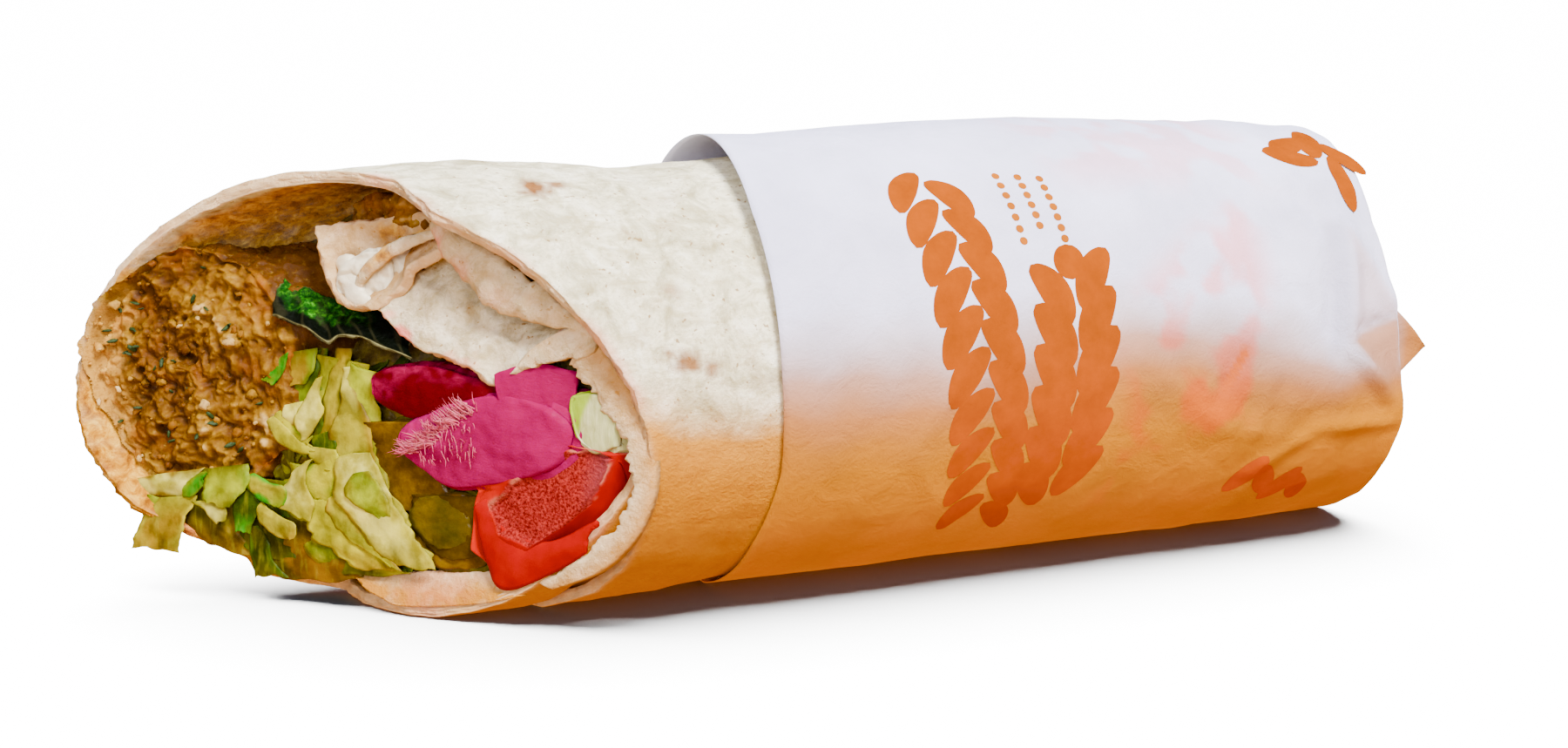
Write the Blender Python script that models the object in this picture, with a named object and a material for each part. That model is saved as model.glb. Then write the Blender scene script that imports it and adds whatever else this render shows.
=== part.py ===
"""Falafel wrap: half a rolled flatbread, cut on the bias at one end and held in a folded paper sleeve.

The wrap lies on the ground along X. The open cut faces -X and the folded end of the sleeve is at +X.
Lengths in the tables are millimetres in the wrap's own layout; OFFSET moves it onto the part's origin,
the centre of the underside. Angles round the roll are degrees: 0 far side, 90 top, 180 near side,
270 underside. A piece in the cut is placed by (y, z, depth), with depth counted from the cut plane.
"""
import math

import bmesh
import bpy
import numpy as np
from mathutils import Vector, noise

MM = 0.001
OFFSET = (-1.679, 0.083, 0.0)     # layout to origin, mm

# Flatbread
CUT_X = -68.0                   # the cut plane is x + y = CUT_X
BREAD_T = 1.8                   # thickness of the sheet
LAYER_GAP = 0.3                 # between one turn and the next
CLEARANCE = 0.35                # between one piece and its neighbour
BREAD_END_X = 87.0
ROLL_START, ROLL_END, ROLL_STEP = 112.0, 628.0, 9.0
SECOND_TURN = 460.0
BREAD_STATIONS = (0.0, 0.015, 0.045, 0.09, 0.16, 0.24, 0.33, 0.43, 0.56, 0.7, 0.85, 1.0)
BREAD_HALF_WIDTH = ((-110, 33.0), (-40, 33.0), (-16, 33.1), (10, 33.1), (60, 32.4), (88, 31.4))
BREAD_TOP = ((-110, 62.4), (-75, 63.4), (-60, 64.3), (-50, 64.7), (-38, 64.0), (-28, 62.8), (-14, 63.6),
             (5, 65.4), (20, 67.0), (40, 67.6), (60, 66.8), (88, 65.4))
BREAD_FLOOR = ((-26, 0.0), (-18.5, 1.0))
FLAT_SINK = 0.9                 # how far the round section sinks below the ground before it is flattened
# How far the edge of the sheet stands behind the cut plane, by angle along the roll
RIM = ((112, 1.0), (140, 0.0), (180, 0.5), (200, 0.5), (230, 0.0), (262, 0.5), (274, 4.0), (287, 10.5),
       (298, 5.0), (307, 3.6), (315, 1.3), (322, -1.0), (342, -1.3), (362, -0.2), (371, 0.6), (399, 0.3),
       (423, 0.3), (440, -1.4), (453, -2.0), (466, -4.1), (484, -10.2), (494, -8.8), (513, -5.8),
       (533, -2.1), (551, 0.9), (574, 5.5), (600, 13.1), (628, 19.0))

# Paper
PAPER_T = 0.5
PAPER_STEP = 9.0
PAPER_STATIONS = (0.0, 0.03, 0.1, 0.2, 0.33, 0.46, 0.6, 0.73, 0.85, 0.94, 1.0)
PAPER_HALF_WIDTH = ((-17, 34.5), (10, 34.5), (50, 34.1), (80, 33.6), (92, 33.0), (104, 32.4))
PAPER_TOP = ((-17, 67.9), (-4, 67.6), (8, 68.3), (20, 69.0), (42, 69.5), (60, 68.6), (80, 68.0), (104, 66.6))
PAPER_RIM = ((0, -14.0), (58, -13.1), (85, -13.4), (102, -14.3), (119, -15.3), (135, -16.1), (176, -16.1),
             (200, -15.4), (223, -16.7), (245, -17.0), (300, -16.0), (360, -14.0))
PAPER_END = ((0, 96.0), (60, 97.5), (100, 97.0), (124, 94.8), (145, 92.8), (162, 93.8), (182, 95.3),
             (206, 99.3), (218, 99.6), (237, 101.2), (270, 101.0), (320, 98.0), (360, 96.0))
END_RINGS = ((0.93, 1.6), (0.72, 1.2), (0.42, -1.0))     # part of the section, how far it bulges
END_CENTRE = (-3.0, 33.0, 97.0)
TAIL = ((-28.6, 25.0, 90.5), (-28.6, 40.5, 90.5), (-27.4, 31.5, 104.8))
TAIL_T = 1.0

# Torn inner flaps of the sheet: rows from the cut edge inwards, each (y, z, depth)
FLAP_B = (((-3.9, 44.4, 0), (-7.6, 39.9, 0), (-13.7, 37.4, -0.5), (-17.4, 34.6, 0), (-18.8, 37.9, 1),
           (-21.9, 42.1, 1), (-26.7, 43.2, 1.5)),
          ((-5.0, 48.3, 3), (-9.1, 45.4, 2), (-12.6, 42.6, 3), (-15.5, 40.6, 4), (-17.0, 41.4, 5),
           (-20.6, 43.2, 5), (-26.3, 44.0, 5)),
          ((-4.6, 53.0, 11), (-8.4, 49.9, 11), (-11.5, 47.6, 12), (-14.9, 46.2, 12), (-17.2, 45.4, 12),
           (-20.4, 45.2, 11), (-25.6, 45.2, 9)))
FLAP_A = (((5.6, 55.1, 3), (2.6, 55.6, 4), (-1.4, 56.3, 5), (-6.6, 57.4, 6), (-11.6, 56.2, 7)),
          ((3.9, 50.5, 2), (3.1, 50.4, 5), (-1.3, 52.1, 6), (-6.6, 55.2, 5.5), (-11.8, 56.1, 5)),
          ((0.4, 45.6, 0), (0.0, 46.4, 3), (-3.6, 50.3, 3), (-7.8, 53.7, 3), (-12.0, 56.0, 3)),
          ((-4.4, 44.5, -1), (-6.0, 47.1, -1), (-8.6, 50.8, -1), (-10.6, 53.3, 0), (-12.2, 55.9, 1)))
FLAP_T = 1.9
LEAF = (((8.6, 42.6, 0), (5.3, 41.5, 0), (1.5, 39.6, -1), (-0.2, 40.5, 0), (-4.6, 39.4, -1), (-7.4, 37.6, 0)),
        ((10.4, 45.2, 3), (7.4, 43.4, 3), (4.3, 41.6, 3), (2.0, 42.4, 3), (-1.8, 41.0, 2), (-5.4, 39.2, 2)),
        ((11.9, 47.1, 6), (9.4, 45.6, 7), (7.1, 44.5, 8), (4.6, 44.3, 8), (0.5, 43.6, 6), (-3.2, 41.8, 6)))
LEAF_T = 0.8

# Chunks in the cut: centre y z, half sizes, turn in degrees, squareness, front depth, back depth,
# how far the face bulges, roughness, seed, points round
CHUNKS = {
    "falafel_1": ((20.6, 34.3), (12.9, 17.6), -8, 2.3, 1.6, 22.0, 2.6, 1.0, 3, 26),
    "falafel_2": ((-1.5, 55.6), (7.6, 5.0), 4, 2.3, 8.5, 22.0, 2.0, 0.8, 8, 18),
    "falafel_3": ((2.6, 48.6), (5.2, 5.6), 0, 2.2, 10.5, 24.0, 2.0, 0.7, 12, 16),
    "tomato": ((-21.8, 16.0), (8.8, 11.3), 12, 2.6, 0.4, 14.0, 1.6, 0.3, 5, 24),
    "turnip_2": ((-15.6, 26.6), (9.6, 6.6), -18, 2.3, -0.4, 9.0, 1.6, 0.35, 6, 24),
    "turnip_1": ((-9.6, 32.3), (8.6, 4.4), 10, 2.2, 1.2, 10.0, 1.4, 0.25, 7, 22),
    "green_pepper": ((-26.3, 30.2), (2.6, 4.5), -12, 2.8, 1.0, 10.0, 0.4, 0.15, 9, 16),
    "pickle_1": ((-5.4, 22.4), (4.8, 6.8), 12, 2.3, 2.0, 5.5, 0.3, 0.15, 10, 18),
    "pickle_2": ((-10.6, 12.9), (5.2, 6.0), 20, 2.2, 1.4, 5.0, 0.3, 0.15, 11, 18),
    "sauce": ((-1.2, 48.3), (3.2, 4.3), 24, 2.0, 1.4, 6.0, 0.8, 0.5, 14, 16),
}

# Lettuce: the heap that fills the roll, and the shreds that show: y0 z0 y1 z1, bow, width, depth
HEAP_FRONT = 6.0
HEAP_BACK_X = 84.0
HEAP_STATIONS = (0.0, 0.1, 0.3, 0.55, 0.8, 1.0)
SHREDS = (
    (2.8, 38.0, 2.0, 21.8, 0.8, 4.2, 2.4), (6.2, 37.8, 7.8, 27.5, -0.6, 3.4, 3.4),
    (0.4, 20.9, -9.8, 8.4, -2.0, 3.8, 1.2), (2.9, 23.1, -5.5, 6.9, -2.2, 4.0, 0.4),
    (4.6, 17.8, -6.3, 6.4, -2.0, 3.4, -0.4), (6.1, 33.0, 5.3, 26.1, 0.4, 3.0, 0.4),
    (8.4, 27.2, 3.4, 23.1, -1.0, 2.8, 0.0), (5.5, 21.6, 6.1, 15.3, 0.6, 2.8, -0.6),
    (12.5, 16.2, 4.8, 13.6, 0.8, 2.8, -0.8), (18.0, 17.0, 13.1, 9.6, 0.4, 4.2, -0.6),
    (24.8, 13.4, 18.6, 13.9, 0.8, 3.4, -0.6), (18.6, 12.0, 22.6, 6.6, 0.3, 4.2, -2.0),
    (12.2, 14.6, 10.6, 9.2, 0.3, 2.4, -1.2), (9.0, 12.4, 3.8, 9.4, 0.4, 2.4, -1.6),
    (11.4, 9.6, 9.8, 5.6, -0.3, 3.0, -0.4), (10.4, 37.0, 6.9, 32.8, 0.6, 3.2, 2.2),
    (1.4, 37.8, 0.9, 28.1, -0.6, 3.8, 4.4), (5.4, 9.6, 0.0, 5.8, -0.6, 3.6, 0.6),
    (-2.6, 14.6, -8.4, 8.6, -0.8, 3.6, 3.0),
)
SHRED_T = 0.9
SHRED_RINGS = 7

COLOURS = {
    "bread": ((0.78, 0.68, 0.52, 1), 0.75), "paper": ((0.83, 0.80, 0.82, 1), 0.55),
    "falafel": ((0.34, 0.17, 0.05, 1), 0.85), "tomato": ((0.72, 0.08, 0.02, 1), 0.25),
    "turnip": ((0.66, 0.02, 0.18, 1), 0.3), "pepper": ((0.45, 0.52, 0.16, 1), 0.3),
    "pickle": ((0.36, 0.33, 0.05, 1), 0.3), "leaf": ((0.02, 0.12, 0.02, 1), 0.5),
    "lettuce": ((0.62, 0.66, 0.25, 1), 0.45), "sauce": ((0.85, 0.82, 0.74, 1), 0.4),
}


def smooth(low, high, value):
    t = min(max((value - low) / (high - low), 0.0), 1.0)
    return t * t * (3.0 - 2.0 * t)


def table(rows, value):
    return float(np.interp(value, [row[0] for row in rows], [row[1] for row in rows]))


def wobble(x, y, z, scale, seed=0):
    return noise.noise(Vector((x / scale + seed * 7.3, y / scale - seed * 3.1, z / scale + seed)))


# ---- materials and meshes

def material(name):
    colour, rough = COLOURS[name]
    mat = bpy.data.materials.get(name) or bpy.data.materials.new(name)
    mat.use_nodes = True
    shader = mat.node_tree.nodes["Principled BSDF"]
    shader.inputs["Base Color"].default_value = colour
    shader.inputs["Roughness"].default_value = rough
    mat.diffuse_color = colour
    return mat


def make_object(name, points, faces, colour):
    """A closed triangle mesh from millimetre points."""
    mesh = bpy.data.meshes.new(name)
    shift = np.array(OFFSET)
    mesh.from_pydata([tuple((np.array(p) + shift) * MM) for p in points], [], faces)
    obj = bpy.data.objects.new(name, mesh)
    bpy.context.scene.collection.objects.link(obj)
    bm = bmesh.new()
    bm.from_mesh(mesh)
    bmesh.ops.triangulate(bm, faces=bm.faces)
    bmesh.ops.recalc_face_normals(bm, faces=bm.faces)
    if bm.calc_volume(signed=True) < 0:
        bmesh.ops.reverse_faces(bm, faces=bm.faces)
    bm.to_mesh(mesh)
    bm.free()
    mesh.materials.append(material(colour))
    return obj


def grid_faces(rows, cols, start, wrap, flip):
    """Quads of a rows x cols grid of points that begins at index start."""
    faces = []
    for i in range(rows if wrap else rows - 1):
        for j in range(cols - 1):
            a = start + i * cols + j
            b = start + ((i + 1) % rows) * cols + j
            quad = (a, b, b + 1, a + 1)
            faces.append(quad[::-1] if flip else quad)
    return faces


def sheet_solid(name, outer, inner, colour):
    """A thick sheet from two equal grids of points, closed all round its edge."""
    rows, cols = outer.shape[:2]
    points = list(outer.reshape(-1, 3)) + list(inner.reshape(-1, 3))
    half = rows * cols
    faces = grid_faces(rows, cols, 0, False, False) + grid_faces(rows, cols, half, False, True)
    edge = [(i, 0) for i in range(rows)] + [(rows - 1, j) for j in range(1, cols)]
    edge += [(i, cols - 1) for i in range(rows - 2, -1, -1)] + [(0, j) for j in range(cols - 2, 0, -1)]
    ring = [i * cols + j for i, j in edge]
    for k, a in enumerate(ring):
        b = ring[(k + 1) % len(ring)]
        faces.append((b, a, a + half, b + half))
    return make_object(name, points, faces, colour)


def cut_point(y, z, depth):
    return np.array((CUT_X - y + depth, y, z))


def spline(points, count):
    """Points along a smooth curve through the given ones, evenly spaced in its parameter."""
    points = np.asarray(points, float)
    last = len(points) - 1
    out = []
    for t in np.linspace(0, last, count):
        i = min(int(t), last - 1)
        u = t - i
        p0 = points[max(i - 1, 0)]
        p1, p2 = points[i], points[i + 1]
        p3 = points[min(i + 2, last)]
        out.append(0.5 * (2 * p1 + (p2 - p0) * u + (2 * p0 - 5 * p1 + 4 * p2 - p3) * u * u
                          + (3 * p1 - p0 - 3 * p2 + p3) * u ** 3))
    return np.array(out)


def patch(rows, across, along):
    """A smooth grid through control rows given as (y, z, depth)."""
    lines = np.array([spline([cut_point(*point) for point in row], along) for row in rows])
    return np.array([spline(lines[:, j], across) for j in range(along)])


def grid_normals(grid):
    du = np.gradient(grid, axis=0)
    dv = np.gradient(grid, axis=1)
    normal = np.cross(du, dv)
    return normal / np.linalg.norm(normal, axis=2, keepdims=True)


def leaf_solid(name, rows, across, along, thickness, colour, ripple=0.0, grow=0.0):
    """A thin curved piece: the grid through its control rows and the same grid set back."""
    face = patch(rows, across, along)
    if ripple:
        for j in range(face.shape[0]):
            for i in range(face.shape[1]):
                lift = ripple * math.sin(j * 1.9) * (1.0 - 0.5 * i / (face.shape[1] - 1))
                face[j, i] += (0.0, 0.0, lift)
    normal = grid_normals(face)
    back = normal if (normal[:, :, 0] > 0).mean() > 0.5 else -normal
    if grow:
        middle = face.mean(axis=(0, 1))
        spread = face - middle
        face = middle + spread * (1.0 + grow / 12.0) - back * grow
    return sheet_solid(name, face, face + back * (thickness + 2 * grow), colour)


# ---- the flatbread

def bread_size(x):
    """Half width, half height, middle height and ground level of the roll's section."""
    top = table(BREAD_TOP, x)
    floor = table(BREAD_FLOOR, x)
    rise = (top - floor + FLAT_SINK) / 2.0
    return table(BREAD_HALF_WIDTH, x), rise, top - rise, floor


def section(x, angle, inset):
    """A point of the roll's section: inset is how far inside the outer face it lies."""
    half, rise, middle, floor = bread_size(x)
    turn = math.radians(angle)
    y = (half - inset) * math.cos(turn)
    z = middle + (rise - inset) * math.sin(turn)
    return y, max(z, floor + max(inset, 0.0))


def roll_inset(angle, x):
    """How deep the sheet's outer face lies at this angle along the roll."""
    depth = (BREAD_T + LAYER_GAP) * (1.0 - smooth(292.0, 395.0, angle))
    depth += 1.5 * (1.0 - smooth(112.0, 150.0, angle))
    if 215.0 < angle < 300.0:
        # The lip sags to the ground where the layer under it ends.
        y = table(BREAD_HALF_WIDTH, x) * math.cos(math.radians(angle))
        bare = CUT_X - y + table(RIM, min(angle + 360.0, ROLL_END)) - x
        depth -= 1.9 * smooth(0.5, 6.0, bare) * smooth(215.0, 240.0, angle)
    return depth


def bread_grids(start, end, grow=0.0):
    """Outer and inner faces of the sheet between two angles of the roll."""
    count = max(2, int(round((end - start) / ROLL_STEP)) + 1)
    outer = []
    inner = []
    for angle in np.linspace(start, end, count):
        rim = CUT_X - table(BREAD_HALF_WIDTH, -60) * math.cos(math.radians(angle)) + table(RIM, angle) - grow
        out_row = []
        in_row = []
        for part in BREAD_STATIONS:
            x = rim + (BREAD_END_X + grow - rim) * part
            ease = 1.0 - smooth(-30.0, -16.0, x)
            wave = 0.35 * ease * wobble(x, 25 * math.cos(math.radians(angle)),
                                        25 * math.sin(math.radians(angle)), 22.0, 2)
            inset = roll_inset(angle, x) + max(wave, -0.2) - grow
            out_row.append((x, *section(x, angle, inset)))
            in_row.append((x, *section(x, angle, inset + BREAD_T + 2 * grow)))
        outer.append(out_row)
        inner.append(in_row)
    return np.array(outer), np.array(inner)


def inner_limit(angle):
    """Depth of the innermost face of the roll at an angle of one turn, with clearance."""
    along = angle if angle >= ROLL_START else angle + 360.0
    depth = (BREAD_T + LAYER_GAP) * (1.0 - smooth(292.0, 395.0, along))
    depth += 1.5 * (1.0 - smooth(112.0, 150.0, along))
    return depth + BREAD_T + CLEARANCE + 0.35


def keep_inside(point):
    """Move a point in from the roll's wall when it lies in or beyond it."""
    x, y, z = point
    half, rise, middle, floor = bread_size(x)
    angle = math.degrees(math.atan2((z - middle) / rise, y / half)) % 360.0
    limit = inner_limit(angle)
    reach = math.hypot(y / (half - limit), (z - middle) / (rise - limit))
    if reach > 1.0:
        y /= reach
        z = middle + (z - middle) / reach
    return np.array((x, y, max(z, floor + limit)))


# ---- fillings

def chunk(name, colour, grow=0.0):
    """A lumpy piece whose outline in the cut is a turned superellipse."""
    centre, half, turn, power, front, back, bulge, rough, seed, count = CHUNKS[name]
    turn = math.radians(turn)
    rings = ((0.34, front - bulge), (0.66, front - bulge * 0.62), (0.9, front - bulge * 0.15),
             (1.0, front + 1.4), (1.0, 0.5 * (front + back)), (0.8, back))
    points = [cut_point(centre[0], centre[1], front - bulge)]
    for reach, depth in rings:
        for k in range(count):
            a = 2 * math.pi * k / count
            c, s = math.cos(a), math.sin(a)
            u = half[0] * math.copysign(abs(c) ** (2 / power), c)
            v = half[1] * math.copysign(abs(s) ** (2 / power), s)
            shape = 1.0 + 0.09 * wobble(3 * c, 3 * s, seed, 1.6, seed)
            y = centre[0] + reach * shape * (u * math.cos(turn) - v * math.sin(turn))
            z = centre[1] + reach * shape * (u * math.sin(turn) + v * math.cos(turn))
            bump = rough * wobble(y, z, depth, 3.2, seed) * 1.6
            points.append(cut_point(y, z, depth - bump))
    points.append(cut_point(centre[0], centre[1], back + 0.4))
    points = [keep_inside(point) for point in points]
    faces = [(0, 1 + k, 1 + (k + 1) % count) for k in range(count)]
    for ring in range(len(rings) - 1):
        base = 1 + ring * count
        for k in range(count):
            n = (k + 1) % count
            faces.append((base + k, base + count + k, base + count + n, base + n))
    base = 1 + (len(rings) - 1) * count
    faces += [(len(points) - 1, base + (k + 1) % count, base + k) for k in range(count)]
    obj = make_object(name + ("_cutter" if grow else ""), points, faces, colour)
    if grow:
        swell(obj, grow)
    return obj


def swell(obj, amount):
    """Push every face of a closed mesh outwards."""
    bm = bmesh.new()
    bm.from_mesh(obj.data)
    bm.normal_update()
    moves = [(v, v.normal * amount * MM * min(v.calc_shell_factor(), 1.8)) for v in bm.verts]
    for vert, move in moves:
        vert.co += move
    bm.to_mesh(obj.data)
    bm.free()


def heap_recess(z):
    """The heap lies further back behind the chunks and the flaps in the upper half."""
    return 7.0 * smooth(26.0, 44.0, z) + 12.0 * smooth(44.0, 54.0, z)


def heap():
    """The shredded filling behind the cut, as one rough plug down the length of the roll."""
    count = 30
    points = [cut_point(0.0, 30.0, HEAP_FRONT + 3.0)]
    rings = []
    for reach in (0.25, 0.5, 0.75, 0.94):
        rings.append([("front", reach, a) for a in range(count)])
    for part in HEAP_STATIONS:
        rings.append([("side", part, a) for a in range(count)])
    for ring in rings:
        for kind, value, a in ring:
            angle = 360.0 * a / count
            if kind == "front":
                y, z = section(-60.0, angle, 0.0)
                y, z = y * value, 31.0 + (z - 31.0) * value
                depth = HEAP_FRONT + heap_recess(z) + 1.6 * wobble(y, z, 0, 4.0, 4)
                points.append(keep_inside(cut_point(y, z, depth)))
            else:
                y, z = section(-60.0, angle, 0.0)
                start = CUT_X - y + HEAP_FRONT + 2.4 + heap_recess(z)
                x = start + (HEAP_BACK_X - start) * value
                y, z = section(x, angle, 0.0)
                points.append(keep_inside(np.array((x, y, z))))
    points.append(np.array((HEAP_BACK_X, 0.0, 32.0)))
    faces = [(0, 1 + k, 1 + (k + 1) % count) for k in range(count)]
    for ring in range(len(rings) - 1):
        base = 1 + ring * count
        for k in range(count):
            n = (k + 1) % count
            faces.append((base + k, base + count + k, base + count + n, base + n))
    base = 1 + (len(rings) - 1) * count
    faces += [(len(points) - 1, base + (k + 1) % count, base + k) for k in range(count)]
    return make_object("lettuce", points, faces, "lettuce")


def shred(index, row):
    """One strip of lettuce: it comes out of the heap and lies across the cut."""
    y0, z0, y1, z1, bow, width, depth = row
    length = math.hypot(y1 - y0, z1 - z0)
    side = np.array((-(z1 - z0), y1 - y0)) / length
    path = []
    for k in range(SHRED_RINGS):
        t = k / (SHRED_RINGS - 1)
        arch = math.sin(math.pi * t) * bow
        back = (HEAP_FRONT + 3.0 - depth) * (1.0 - smooth(0.0, 0.5, t))
        path.append(cut_point(y0 + (y1 - y0) * t + side[0] * arch, z0 + (z1 - z0) * t + side[1] * arch,
                              depth + back))
    points = []
    tangents = np.gradient(np.array(path), axis=0)
    for k, centre in enumerate(path):
        t = k / (SHRED_RINGS - 1)
        taper = 0.75 + 0.25 * math.sin(math.pi * (0.15 + 0.8 * t))
        twist = 0.3 * math.sin(1.6 * t + index)
        along = tangents[k] / np.linalg.norm(tangents[k])
        across = cut_point(side[0], side[1], twist) - cut_point(0.0, 0.0, 0.0)
        across -= along * (across @ along)
        across /= np.linalg.norm(across)
        out = np.cross(along, across)
        for u, v in ((-0.5, 0.0), (0.0, 0.5), (0.5, 0.0), (0.0, -0.5)):
            points.append(centre + across * width * u * taper + out * SHRED_T * v)
    faces = [(3, 2, 1, 0)]
    for k in range(SHRED_RINGS - 1):
        for c in range(4):
            n = (c + 1) % 4
            faces.append((4 * k + c, 4 * k + n, 4 * k + 4 + n, 4 * k + 4 + c))
    last = 4 * (SHRED_RINGS - 1)
    faces.append((last, last + 1, last + 2, last + 3))
    return make_object("shred_%02d" % index, points, faces, "lettuce")


# ---- joining and cutting

def combine(target, others, operation):
    """Join or cut with one Boolean over a collection, then remove what it used."""
    group = bpy.data.collections.new("group")
    bpy.context.scene.collection.children.link(group)
    for obj in others:
        for home in list(obj.users_collection):
            home.objects.unlink(obj)
        group.objects.link(obj)
    mod = target.modifiers.new("combine", "BOOLEAN")
    mod.operation = operation
    mod.operand_type = "COLLECTION"
    mod.collection = group
    mod.solver = "EXACT"
    bpy.context.view_layer.objects.active = target
    bpy.ops.object.modifier_apply(modifier=mod.name)
    for obj in list(group.objects):
        bpy.data.objects.remove(obj, do_unlink=True)
    bpy.data.collections.remove(group)
    tidy(target)


def tidy(obj):
    """Keep the main closed shell: drop scraps and sealed hollows."""
    bm = bmesh.new()
    bm.from_mesh(obj.data)
    bmesh.ops.dissolve_degenerate(bm, edges=bm.edges, dist=0.000002)
    bmesh.ops.triangulate(bm, faces=bm.faces)
    shells = []
    seen = set()
    for face in bm.faces:
        if face in seen:
            continue
        shell = [face]
        seen.add(face)
        for current in shell:
            for edge in current.edges:
                for other in edge.link_faces:
                    if other not in seen:
                        seen.add(other)
                        shell.append(other)
        shells.append(shell)
    shells.sort(key=lambda shell: -sum(face.calc_area() for face in shell))
    for shell in shells[1:]:
        bmesh.ops.delete(bm, geom=shell, context="FACES")
    loose = [vert for vert in bm.verts if not vert.link_faces]
    bmesh.ops.delete(bm, geom=loose, context="VERTS")
    bm.to_mesh(obj.data)
    bm.free()


# ---- the paper

def paper_section(x, angle):
    top = table(PAPER_TOP, x)
    half = table(PAPER_HALF_WIDTH, x)
    rise = (top + FLAT_SINK) / 2.0
    middle = (top - FLAT_SINK) / 2.0
    turn = math.radians(angle)
    # Shallow folds run down the near side.
    fold = 0.3 * math.sin(0.055 * x + 2.2 * math.sin(turn)) * smooth(95.0, 140.0, angle)
    fold *= (1.0 - smooth(215.0, 250.0, angle)) * smooth(-12.0, 10.0, x)
    return (half + fold) * math.cos(turn), max(middle + rise * math.sin(turn), 0.0)


def paper():
    """The sleeve: a thin tube with a folded end and a small tail where the folds meet."""
    count = int(360 / PAPER_STEP)
    rings = []
    for part in PAPER_STATIONS:
        ring = []
        for k in range(count):
            angle = k * PAPER_STEP
            rim = table(PAPER_RIM, angle)
            x = rim + (table(PAPER_END, angle) - rim) * part
            ring.append((x, *paper_section(x, angle)))
        rings.append(ring)
    edge = rings[-1]
    for scale, bulge in END_RINGS:
        ring = []
        for x, y, z in edge:
            ring.append((END_CENTRE[2] + (x - END_CENTRE[2]) * scale + bulge,
                         END_CENTRE[0] + (y - END_CENTRE[0]) * scale,
                         END_CENTRE[1] + (z - END_CENTRE[1]) * scale))
        rings.append(ring)
    outer = np.array(rings)
    centre = np.array((END_CENTRE[2] - 3.0, END_CENTRE[0], END_CENTRE[1]))
    total = len(outer)
    points = list(outer.reshape(-1, 3)) + [centre]
    faces = grid_loop(total, count, 0)
    faces += [((total - 1) * count + k, (total - 1) * count + (k + 1) % count, total * count)
              for k in range(count)]
    skin = bpy.data.meshes.new("skin")
    skin.from_pydata([tuple(p) for p in points], [], faces)
    inner = [np.array(v.co) for v in skin.vertices]
    normals = [np.array(n.vector) for n in skin.vertex_normals]
    sign = 1.0 if normals[count * 4][1] > 0 else -1.0
    for i, normal in enumerate(normals):
        inner[i] = inner[i] - normal * PAPER_T * sign
        if i < total * count:
            inner[i][2] = max(inner[i][2], PAPER_T)
    bpy.data.meshes.remove(skin)
    half = len(points)
    back = [tuple(reversed([v + half for v in face])) for face in faces]
    rim_faces = [((k + 1) % count, k, k + half, (k + 1) % count + half) for k in range(count)]
    sleeve = make_object("paper", points + inner, faces + back + rim_faces, "paper")
    corners = [np.array((x, y, z)) for y, z, x in TAIL]
    thick = np.array((0.0, TAIL_T, 0.0))
    tail = make_object("tail", corners + [c + thick for c in corners],
                       [(0, 1, 2), (5, 4, 3), (0, 3, 4, 1), (1, 4, 5, 2), (2, 5, 3, 0)], "paper")
    combine(sleeve, [tail], "UNION")
    return sleeve


def grid_loop(rings, count, start):
    faces = []
    for r in range(rings - 1):
        for k in range(count):
            n = (k + 1) % count
            a = start + r * count
            faces.append((a + k, a + count + k, a + count + n, a + n))
    return faces


def main():
    for obj in list(bpy.data.objects):
        bpy.data.objects.remove(obj, do_unlink=True)

    paper()

    bread = sheet_solid("tortilla", *bread_grids(ROLL_START, ROLL_END), "bread")
    flaps = [leaf_solid("flap_a", FLAP_A, 7, 12, FLAP_T, "bread"),
             leaf_solid("flap_b", FLAP_B, 7, 16, FLAP_T, "bread")]
    combine(bread, flaps, "UNION")

    def flap_cutters():
        return [leaf_solid("cut_a", FLAP_A, 7, 12, FLAP_T, "bread", 0.0, CLEARANCE),
                leaf_solid("cut_b", FLAP_B, 7, 16, FLAP_T, "bread", 0.0, CLEARANCE)]

    order = (("falafel_1", "falafel"), ("tomato", "tomato"), ("turnip_2", "turnip"), ("turnip_1", "turnip"),
             ("green_pepper", "pepper"), ("pickle_2", "pickle"), ("pickle_1", "pickle"),
             ("falafel_3", "falafel"), ("falafel_2", "falafel"), ("sauce", "sauce"))
    placed = []
    for name, colour in order:
        piece = chunk(name, colour)
        cutters = [chunk(other, tone, CLEARANCE) for other, tone in placed]
        if name != "falafel_1":
            cutters += flap_cutters()
        if cutters:
            combine(piece, cutters, "DIFFERENCE")
        placed.append((name, colour))

    leaf = leaf_solid("leaf", LEAF, 5, 14, LEAF_T, "leaf", 0.5)
    cutters = [chunk(name, colour, CLEARANCE) for name, colour in placed]
    combine(leaf, cutters + flap_cutters(), "DIFFERENCE")

    lettuce = heap()
    combine(lettuce, [shred(i, row) for i, row in enumerate(SHREDS)], "UNION")
    cutters = [chunk(name, colour, CLEARANCE) for name, colour in placed]
    cutters.append(leaf_solid("cut_leaf", LEAF, 5, 14, LEAF_T, "leaf", 0.5, CLEARANCE))
    cutters.append(sheet_solid("cut_1", *bread_grids(ROLL_START - 1.5, SECOND_TURN + 10.0, CLEARANCE), "bread"))
    cutters.append(sheet_solid("cut_2", *bread_grids(SECOND_TURN, ROLL_END + 1.5, CLEARANCE), "bread"))
    combine(lettuce, cutters + flap_cutters(), "DIFFERENCE")


main()
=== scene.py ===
import math
import random
from collections import namedtuple

import bpy
import numpy as np
from mathutils import Matrix, Vector, noise


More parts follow.
